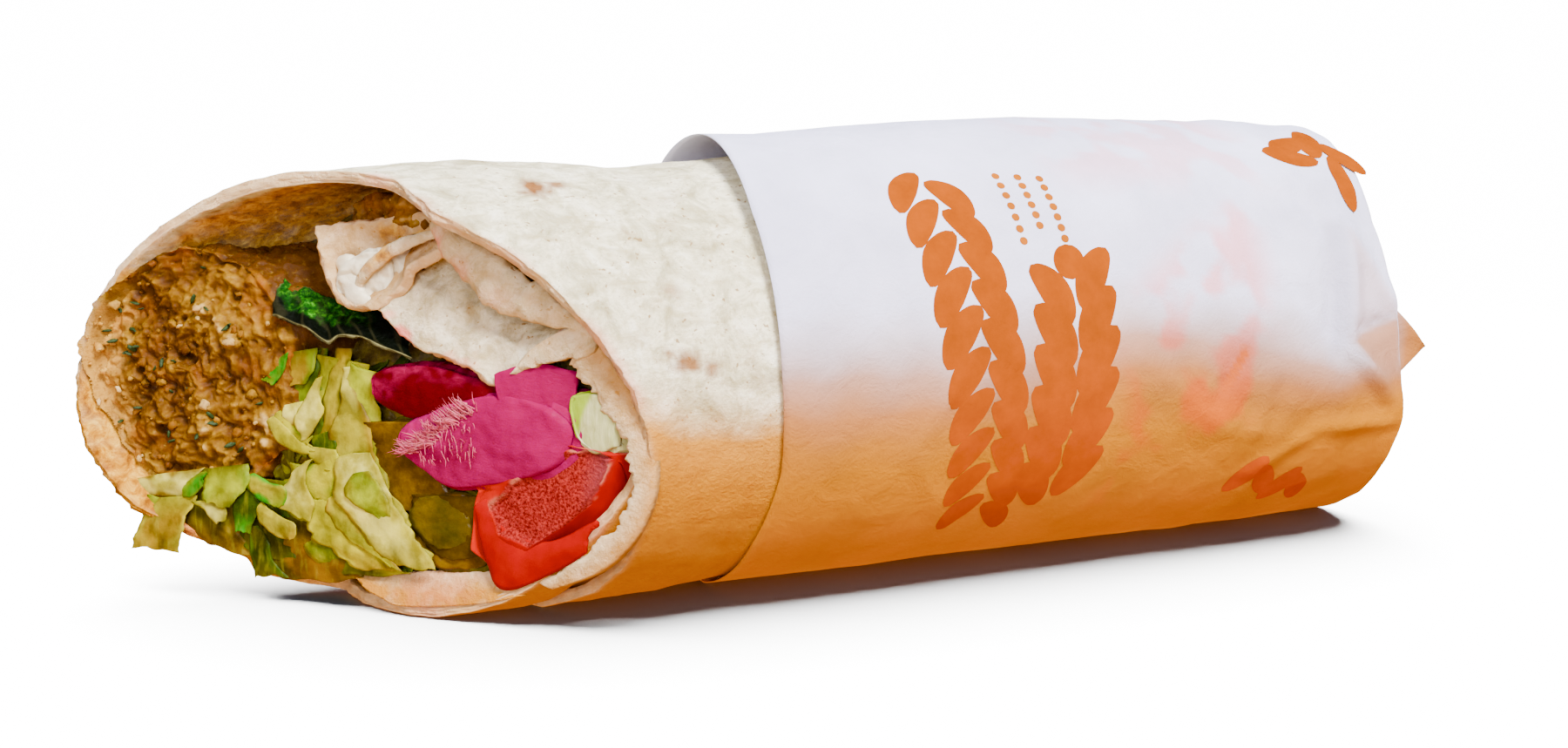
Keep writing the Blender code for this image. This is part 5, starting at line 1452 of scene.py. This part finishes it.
# Lettuce pieces that show clearly: rows across each (y, z of both edges, depth), tints along it, edge tint,
# scallop of its second edge
PIECES = (
    (((2.4, 36.5, 3.7, 35.3, 4.4), (0.8, 32.0, 2.6, 31.8, 4.0), (0.1, 27.5, 1.8, 27.3, 3.6)),
     (GREY, GREY, PALE), OLIVE, 0),
    (((5.8, 37.8, 7.4, 37.7, 4.2), (6.2, 33.9, 7.7, 33.5, 3.8), (6.8, 31.0, 8.1, 29.9, 3.2)),
     (OLIVE, TAN, OLIVE), GREEN, 0),
    (((2.3, 38.1, 4.0, 38.0, 3.6), (2.3, 36.6, 4.3, 34.9, 3.0), (2.9, 33.0, 4.9, 31.2, 2.6),
      (3.1, 29.4, 5.1, 27.6, 2.2), (3.5, 25.2, 5.3, 25.5, 2.0)),
     (TAN, CREAM, TAN), OLIVE, 0),
    (((6.3, 37.8, 9.7, 36.8, 2.8), (6.1, 35.3, 9.7, 33.5, 2.2), (6.9, 32.7, 9.5, 31.7, 1.8)),
     (OLIVE, TAN, TAN), LIME, 0),
    (((6.5, 31.3, 9.6, 31.1, 3.0), (7.0, 29.2, 11.1, 28.6, 2.6), (8.5, 27.3, 10.4, 27.4, 2.0)),
     (OLIVE, GREEN, OLIVE), GREEN, 0),
    (((8.2, 37.1, 9.2, 36.2, 1.4), (8.5, 35.0, 10.2, 33.8, 0.8), (9.3, 32.6, 10.4, 33.0, 0.6)),
     (GREEN, BRIGHT, LIME), BRIGHT, 0.3),
    (((1.7, 35.6, 3.0, 35.3, 2.8), (1.1, 32.4, 2.4, 31.7, 2.2), (-0.4, 28.2, 3.1, 27.1, 1.6),
      (-1.1, 24.7, 2.9, 23.8, 1.2), (-1.5, 21.9, 2.1, 21.5, 0.9)),
     (WHITE, CREAM, CREAM), TAN, 0),
    (((4.2, 25.9, 5.9, 25.1, 1.8), (2.9, 24.5, 5.2, 23.5, 1.4), (2.7, 22.8, 4.2, 22.6, 1.0)),
     (LIME, GREEN, LIME), GREEN, 0),
    (((8.9, 28.7, 10.2, 27.4, 1.0), (7.1, 26.8, 8.2, 25.6, 0.6), (5.4, 24.9, 6.5, 23.5, 0.5),
      (4.7, 25.2, 5.2, 23.1, 0.6)),
     (YELLOW, YELLOW, YELLOW), LIME, 0.8),
    (((6.5, 30.2, 8.4, 29.5, 1.0), (6.4, 28.4, 8.2, 28.0, 0.7), (6.5, 26.7, 7.3, 26.8, 0.7)),
     (WHITE, WHITE, TAN), WHITE, 0),
    (((3.7, 34.1, 4.4, 33.7, 1.0), (4.1, 31.7, 5.3, 31.4, 0.6), (3.5, 29.2, 6.1, 28.5, 0.2),
      (4.2, 26.8, 6.2, 26.9, 0.0), (5.5, 24.6, 6.0, 24.8, 0.2)),
     (CREAM, WHITE, WHITE), CREAM, 0),
    (((9.4, 27.8, 10.2, 26.8, 0.3), (7.7, 26.1, 8.8, 24.8, 0.0), (6.1, 24.5, 7.0, 23.4, 0.0),
      (4.7, 23.3, 5.3, 22.7, 0.3)),
     (CREAM, YELLOW, YELLOW), CREAM, 0.15),
    (((9.0, 23.6, 11.3, 24.7, 2.4), (8.6, 21.0, 10.3, 22.9, 2.2), (8.1, 19.5, 9.2, 21.0, 2.0)),
     (GREY, OLIVE, GREY), OLIVE, 0),
    (((2.7, 23.6, 5.5, 23.8, 0.9), (2.3, 21.8, 4.8, 22.1, 0.5), (2.4, 20.2, 3.5, 20.4, 0.5)),
     (CREAM, CREAM, YELLOW), YELLOW, 0),
    (((2.3, 22.3, 4.7, 21.5, 0.7), (2.1, 19.8, 5.9, 19.4, 0.3), (2.6, 17.4, 5.8, 17.3, 0.2),
      (3.3, 15.5, 5.3, 16.5, 0.3)),
     (YELLOW, YELLOW, YELLOW), LIME, 0.8),
    (((6.0, 13.7, 8.6, 12.9, 1.0), (3.2, 10.4, 10.1, 9.0, 0.6), (1.4, 7.5, 9.3, 6.0, 0.3),
      (0.5, 4.7, 8.0, 3.4, 0.4)),
     (OLIVE, BROWN, BROWN), OLIVE, 0.2),
    (((2.8, 16.3, 5.3, 16.0, 0.2), (2.1, 13.5, 4.5, 13.3, -0.2), (0.3, 11.2, 3.9, 11.0, -0.4),
      (-2.7, 8.7, 1.1, 8.5, -0.6), (-5.7, 6.7, -2.2, 6.5, -0.6)),
     (YELLOW, YELLOW, TAN), YELLOW, 0.7),
    (((1.5, 17.7, 3.0, 16.3, 0.2), (0.1, 14.1, 2.4, 14.3, -0.4), (-1.7, 11.7, 0.6, 11.7, -0.8),
      (-4.1, 9.4, -1.6, 9.9, -1.0), (-6.0, 7.0, -4.2, 8.1, -1.0)),
     (CREAM, PALE, YELLOW), TAN, 0.15),
    (((-1.7, 23.6, -0.1, 23.4, 0.4), (-3.0, 20.9, 1.2, 21.7, -0.2), (-4.4, 17.7, 1.0, 17.6, -0.6),
      (-5.6, 15.0, -0.4, 15.0, -0.9), (-7.3, 12.2, -2.2, 12.3, -1.1), (-8.7, 10.0, -4.2, 9.5, -1.2),
      (-9.6, 7.6, -6.3, 7.4, -1.0)),
     (WHITE, WHITE, CREAM), CREAM, 0),
    (((-2.4, 21.1, -0.9, 20.6, -0.9), (-4.0, 18.8, -0.4, 18.4, -1.2), (-5.1, 16.3, -1.7, 16.5, -1.5),
      (-4.9, 14.4, -3.2, 14.7, -1.3)),
     (LIME, YLIME, LIME), PALE, 0),
    (((4.7, 22.0, 5.5, 21.5, 0.0), (5.0, 20.1, 6.3, 19.9, -0.6), (4.8, 17.8, 7.3, 17.5, -1.0),
      (4.2, 15.5, 8.3, 15.3, -1.1), (4.6, 13.2, 6.5, 13.9, -0.9)),
     (CREAM, WHITE, YELLOW), CREAM, 0.1),
    (((9.7, 11.2, 11.8, 12.2, 1.2), (12.5, 13.8, 10.7, 15.1, 1.0), (8.4, 14.3, 9.3, 13.1, 0.8)),
     (LIME, LIME, GREEN), BRIGHT, 0),
    (((11.9, 11.3, 12.9, 11.1, 0.2), (10.3, 8.8, 12.4, 8.6, -0.1), (9.8, 6.2, 11.9, 6.0, -0.3),
      (8.5, 4.2, 11.5, 3.6, -0.2)),
     (OLIVE, DEEP, OLIVE), GREEN, 0),
    (((12.2, 17.8, 13.2, 17.5, -0.2), (10.7, 14.7, 13.3, 14.4, -1.0), (11.0, 12.6, 13.1, 12.6, -1.4),
      (11.3, 10.7, 12.8, 10.5, -1.5)),
     (DEEP, GREEN, BRIGHT), GREEN, 0),
    (((11.5, 19.2, 13.0, 18.5, -0.6), (9.1, 18.2, 11.3, 17.1, -1.2), (7.0, 17.4, 9.5, 15.7, -1.4),
      (7.1, 14.9, 8.3, 14.9, -1.4)),
     (PALE, CREAM, LIME), BRIGHT, 0.1),
    (((10.2, 15.1, 10.6, 13.6, -1.2), (7.5, 13.4, 9.6, 12.7, -1.6), (5.7, 12.2, 7.4, 10.6, -1.8),
      (5.7, 10.3, 6.4, 10.1, -1.8)),
     (CREAM, CREAM, TAN), CREAM, 0.1),
    (((14.6, 15.1, 17.9, 14.5, -1.4), (13.8, 13.4, 16.2, 13.4, -1.9), (14.0, 11.8, 14.9, 11.5, -2.1)),
     (PALE, WHITE, WHITE), PALE, 0.1),
    (((12.5, 20.5, 17.3, 19.3, -0.8), (11.9, 18.6, 16.6, 17.8, -1.4), (12.2, 16.2, 15.8, 15.4, -1.9),
      (13.3, 14.3, 15.4, 14.8, -2.1)),
     (OLIVE, YLIME, PALE), LIME, 0),
    (((27.3, 16.3, 25.3, 14.5, 0.0), (22.9, 17.7, 23.1, 15.0, -0.8), (19.0, 18.6, 19.7, 15.3, -1.2),
      (17.2, 19.2, 18.4, 17.2, -0.9)),
     (WHITE, WHITE, WHITE), TAN, 0.15),
    (((24.0, 14.7, 22.1, 14.2, -0.8), (24.4, 12.4, 22.3, 13.0, -1.2), (24.5, 10.6, 22.9, 11.4, -1.4)),
     (YLIME, LIME, TAN), LIME, 0),
    (((18.2, 15.3, 22.0, 14.6, -1.4), (18.5, 13.2, 23.4, 11.7, -2.0), (19.0, 11.1, 24.0, 9.0, -2.5),
      (19.7, 6.7, 24.3, 6.7, -2.8)),
     (PALE, TAN, TAN), CREAM, 0.1),
    (((19.1, 16.8, 19.2, 15.2, -1.5), (17.2, 18.2, 17.6, 15.7, -1.9), (15.9, 19.0, 16.5, 17.2, -1.8)),
     (LIME, BRIGHT, BRIGHT), LIME, 0),
)

# Broad pieces behind those: rows, tints, edge tint
BACKS = (
    (((10.8, 36.4, 6.5, 37.5, 3.2), (11.4, 31.0, 5.5, 30.0, 2.8), (10.2, 26.6, 4.0, 24.0, 2.2)),
     (OLIVE, LIME, OLIVE), GREEN),
    (((6.5, 37.0, 0.5, 36.0, 3.6), (7.2, 30.0, 0.0, 29.0, 3.2), (6.6, 23.0, -1.5, 22.0, 2.6),
      (5.0, 16.0, -3.0, 16.0, 2.0)),
     (PALE, YLIME, LIME), YELLOW),
    (((2.5, 36.4, -0.4, 35.0, 3.0), (1.5, 28.0, -1.3, 27.0, 2.2), (0.0, 21.0, -3.0, 20.0, 1.2),
      (-2.0, 14.0, -6.0, 13.0, 0.6), (-5.0, 8.5, -8.5, 8.5, 0.2)),
     (YLIME, PALE, YELLOW), CREAM),
    (((8.5, 21.0, 1.5, 20.0, 1.8), (8.4, 15.0, -0.5, 14.0, 1.0), (6.6, 9.5, -3.5, 8.5, 0.7),
      (4.0, 5.2, -5.4, 6.0, 0.6)),
     (YLIME, LIME, OLIVE), YELLOW),
    (((16.0, 19.0, 9.0, 18.0, 1.6), (16.4, 14.0, 8.0, 12.5, 1.0), (14.4, 8.4, 7.0, 5.6, 0.6)),
     (OLIVE, DEEP, OLIVE), GREEN),
    (((20.0, 17.5, 12.0, 17.0, 1.2), (22.0, 13.0, 14.0, 11.0, 0.6), (20.0, 9.0, 13.0, 6.5, 0.2)),
     (PALE, OLIVE, BROWN), TAN),
)


def shred(pile, row, seed):
    """A ribbon of lettuce with a curled section and uneven edges."""
    y0, z0, y1, z1, bow, width, depth, twist, curl, first, second = row
    steps, cols, thickness = 26, 7, 0.32
    t = np.linspace(0, 1, steps)
    length = math.hypot(y1 - y0, z1 - z0)
    side = np.array((-(z1 - z0), y1 - y0)) / length
    arch = np.sin(math.pi * t) * bow
    back = (HEAP_FRONT + 3.0 - depth) * (1.0 - smooth(0.0, 0.5, t))
    path = cut_point(y0 + (y1 - y0) * t + side[0] * arch, z0 + (z1 - z0) * t + side[1] * arch, depth + back)
    for k in range(3):
        path[:, k] += 0.35 * perlin(points_of(t * 9, k, seed), 1.7, seed)
    tangent = np.gradient(path, axis=0)
    tangent /= np.linalg.norm(tangent, axis=1, keepdims=True)
    turn = 0.35 * np.sin(1.6 * t + seed) + twist * (t - 0.5) * 2.0
    across = np.stack((-side[0] + turn, np.full(steps, side[0]), np.full(steps, side[1])), -1)
    across -= tangent * np.sum(across * tangent, axis=1, keepdims=True)
    across /= np.linalg.norm(across, axis=1, keepdims=True)
    out = np.cross(tangent, across)
    if out[:, 0].mean() > 0:
        out = -out
    u = np.linspace(-0.5, 0.5, cols)
    taper = (0.72 + 0.28 * np.sin(math.pi * (0.12 + 0.8 * t))) * (1 - 0.55 * smooth(0.9, 1.0, t))
    ragged = 1.0 + 0.16 * perlin(points_of(t * 14, 0.0, seed), 1.0, seed + 1)
    w = width * taper * ragged
    ruffle = 0.28 * np.sin(t * 15 + seed * 3)[:, None] * (2 * u[None]) ** 3 * min(1.0, width / 3)
    hollow = curl * (4 * u[None] ** 2 - 0.4)
    grid = (path[:, None] + across[:, None] * (w[:, None] * u[None])[..., None]
            + out[:, None] * (ruffle + hollow)[..., None])
    normal = normals_of(grid)
    thick = thickness * (1.3 - np.abs(2 * u)[None] ** 2 * 0.9)[..., None]
    front, rear = grid + normal * thick / 2, grid - normal * thick / 2
    points, faces = two_sided(front, rear)
    first, second = np.array(first), np.array(second)
    tint = first + (second - first) * t[:, None]
    tint = np.repeat(tint[:, None], cols, axis=1)
    shade = 1.0 + 0.18 * perlin(grid, 2.2, seed + 2)[..., None]
    tint = np.clip(tint * shade, 0, 1)
    pile.add(points, faces, tint=np.concatenate((tint.reshape(-1, 3), tint.reshape(-1, 3))))


def lettuce():
    """The pieces that show clearly, broad ones behind them, and many thin shreds between."""
    front = Pile()
    for k, (rows, tints, edge_tint, scallop) in enumerate(PIECES):
        sheet(front, rows, 0.3, k * 2.3 + 1.0, widen=1.25, tints=tints, edge_tint=edge_tint, scallop=scallop)
    for k, (rows, tints, edge_tint) in enumerate(BACKS):
        sheet(front, rows, 0.35, k * 3.1 + 2.0, ruffle=0.5, ragged=0.04, curl=0.6, tints=tints,
              edge_tint=edge_tint, scallop=0.5)
    rng = random.Random(11)
    # The dark tints among these are painted shade for shreds lying back towards the heap
    tints = (OLIVE, OLIVE, BROWN, GREEN, DEEP, TAN, LIME, YELLOW)
    for k in range(130):
        y = rng.uniform(-5.0, 24.0)
        low = 4.6 + 0.018 * (y - 2) ** 2
        z = rng.uniform(low + 1.5, 15.5 if y > 9 else 37.0)
        if y < 0 and z > 13:
            continue
        heading = rng.uniform(-2.2, -0.7)
        length = rng.uniform(5.0, 11.0)
        y1, z1 = y + math.cos(heading) * length * 0.7, max(z + math.sin(heading) * length, low + 0.5)
        if math.hypot(y1 - y, z1 - z) < 3.0:
            continue
        row = (y, z, y1, z1, rng.uniform(-1.2, 1.2), rng.uniform(1.6, 3.4), rng.uniform(3.2, 6.2),
               rng.uniform(-0.6, 0.6), rng.uniform(0.2, 0.7), rng.choice(tints), rng.choice(tints))
        shred(front, row, 40 + k * 0.77)
    front.build("lettuce_shreds", lettuce_material(), "lettuce", "lettuce")


# ---------------------------------------------------------------- camera, floor and light

CAMERA_TURN, CAMERA_TILT = math.radians(-25.0), math.radians(9.5)
CAMERA_AIM = Vector((0.0, 0.0, 30.0))
CAMERA_DISTANCE = 300.0
LENS, SENSOR = 44.0, 36.0
FLOOR_RADIUS, FLOOR_CURVE = 1.4, 0.8        # m
FLOOR_TINT = (0.20, 0.28, 0.37, 1.0)
FLOOR_GLOW = 16.0
SHADOW_SUN = {"energy": 320.0, "color": (1.0, 0.715, 0.54), "angle": math.radians(75.0)}
SHADOW_SUN_HEADING = Vector((-0.02, -0.14, -1.0))
# The surroundings that light the wrap, from straight below to straight above: amber, then a cool white
SKY = ((0.0, (1.0, 0.42, 0.01)), (0.44, (1.0, 0.46, 0.02)), (0.56, (0.34, 0.33, 0.34)),
       (1.0, (0.42, 0.45, 0.52)))
SKY_STRENGTH = 1.3
LAMP_AIM = Vector((0.0, 0.0, 0.02))
# Name, place in m, size, power, colour
LAMPS = (("key", (0.02, -0.66, 0.72), 0.35, 37.0, (1.0, 0.98, 0.95)),
         ("fill", (-0.45, -0.75, 0.25), 0.4, 7.0, (1.0, 0.97, 0.92)),
         ("back", (0.10, 0.45, 0.75), 0.3, 11.0, (0.95, 0.97, 1.0)))


def add_camera():
    level = math.cos(CAMERA_TILT)
    back = Vector((math.sin(CAMERA_TURN) * level, -math.cos(CAMERA_TURN) * level, math.sin(CAMERA_TILT)))
    right = Vector((math.cos(CAMERA_TURN), math.sin(CAMERA_TURN), 0.0))
    data = bpy.data.cameras.new("camera")
    data.sensor_width = SENSOR
    data.lens = LENS
    data.clip_start = 0.01
    camera = place("camera", data)
    turn = Matrix((right, back.cross(right), back)).transposed().to_4x4()
    where = (CAMERA_AIM + Vector(OFFSET) + back * CAMERA_DISTANCE) * MM
    camera.matrix_world = Matrix.Translation(where) @ turn
    bpy.context.scene.camera = camera


def add_floor():
    """A floor that curves up at its edge: matt round the wrap for its shadow, and glowing beyond."""
    rings = [(r, 0.0) for r in (0.1, 0.2, 0.4, 0.8, FLOOR_RADIUS)]
    rings += [(FLOOR_RADIUS + math.sin(a) * FLOOR_CURVE, FLOOR_CURVE * (1.0 - math.cos(a)))
              for a in np.linspace(0.2, 1.4, 8)]
    count = 48
    points = [(r * math.cos(2 * math.pi * k / count), r * math.sin(2 * math.pi * k / count), z)
              for r, z in rings for k in range(count)]
    faces = strip_faces(len(rings), count, wrap_cols=True, flip=True)
    faces.append(list(range(count)))
    mesh = bpy.data.meshes.new("floor")
    mesh.from_pydata(points, [], faces)
    s = Shader("pale_floor")
    s.tree.nodes.remove(s.bsdf)
    matt = s.node("ShaderNodeBsdfDiffuse")
    matt.inputs["Color"].default_value = FLOOR_TINT
    glow = s.node("ShaderNodeEmission")
    glow.inputs["Strength"].default_value = FLOOR_GLOW
    split = s.node("ShaderNodeMixShader")
    length = s.node("ShaderNodeVectorMath", operation="LENGTH")
    s.link(s.mm, length.inputs[0])
    metres = s.math("MULTIPLY", length.outputs["Value"], MM)
    s.link(s.ramp(metres, (0.12, 0.0), (0.4, 1.0)), split.inputs[0])
    s.link(matt.outputs[0], split.inputs[1])
    s.link(glow.outputs[0], split.inputs[2])
    s.link(split.outputs[0], s.tree.nodes["Material Output"].inputs["Surface"])
    mesh.materials.append(s.material)
    floor = place("floor", mesh)
    floor.visible_diffuse = False
    floor.visible_glossy = False
    floor.visible_transmission = False
    floor.visible_shadow = False
    return floor


def add_sky():
    world = bpy.data.worlds.new("studio")
    bpy.context.scene.world = world
    world.use_nodes = True
    tree = world.node_tree
    coord = tree.nodes.new("ShaderNodeTexCoord")
    split = tree.nodes.new("ShaderNodeSeparateXYZ")
    ramp = tree.nodes.new("ShaderNodeValToRGB")
    half = tree.nodes.new("ShaderNodeMath")
    half.operation = "MULTIPLY_ADD"
    half.inputs[1].default_value = 0.5
    half.inputs[2].default_value = 0.5
    tree.links.new(coord.outputs["Generated"], split.inputs[0])
    tree.links.new(split.outputs["Z"], half.inputs[0])
    tree.links.new(half.outputs[0], ramp.inputs["Fac"])
    fill_ramp(ramp.color_ramp, SKY)
    background = tree.nodes["Background"]
    background.inputs["Strength"].default_value = SKY_STRENGTH
    tree.links.new(ramp.outputs["Color"], background.inputs["Color"])


def add_lamps(floor):
    """Lamps that light all but the floor, and a soft sun from behind that lights the floor alone."""
    all_but_floor = bpy.data.collections.new("all_but_floor")
    all_but_floor.objects.link(floor)
    all_but_floor.collection_objects[0].light_linking.link_state = "EXCLUDE"
    for name, where, size, power, colour in LAMPS:
        light = bpy.data.lights.new(name, "AREA")
        light.shape = "DISK"
        light.size = size
        light.energy = power
        light.color = colour
        lamp = place(name, light)
        lamp.location = where
        lamp.rotation_euler = (LAMP_AIM - Vector(where)).to_track_quat("-Z", "Y").to_euler()
        lamp.light_linking.receiver_collection = all_but_floor
    floor_alone = bpy.data.collections.new("floor_alone")
    floor_alone.objects.link(floor)
    light = bpy.data.lights.new("floor_light", "SUN")
    for key, value in SHADOW_SUN.items():
        setattr(light, key, value)
    sun = place("floor_light", light)
    sun.rotation_euler = SHADOW_SUN_HEADING.to_track_quat("-Z", "Y").to_euler()
    sun.light_linking.receiver_collection = floor_alone


add_camera()
floor = add_floor()
add_sky()
add_lamps(floor)
bread = bread_material()
bread_sheet(bread)
loose_bread(bread)
paper = paper_material()
paper_sleeve(paper)
paper_tail(paper)
paper_print()
falafels(falafel_material())
turnips()
tomato()
pickles()
sauce()
leaf()
heap(heap_material())
lettuce()
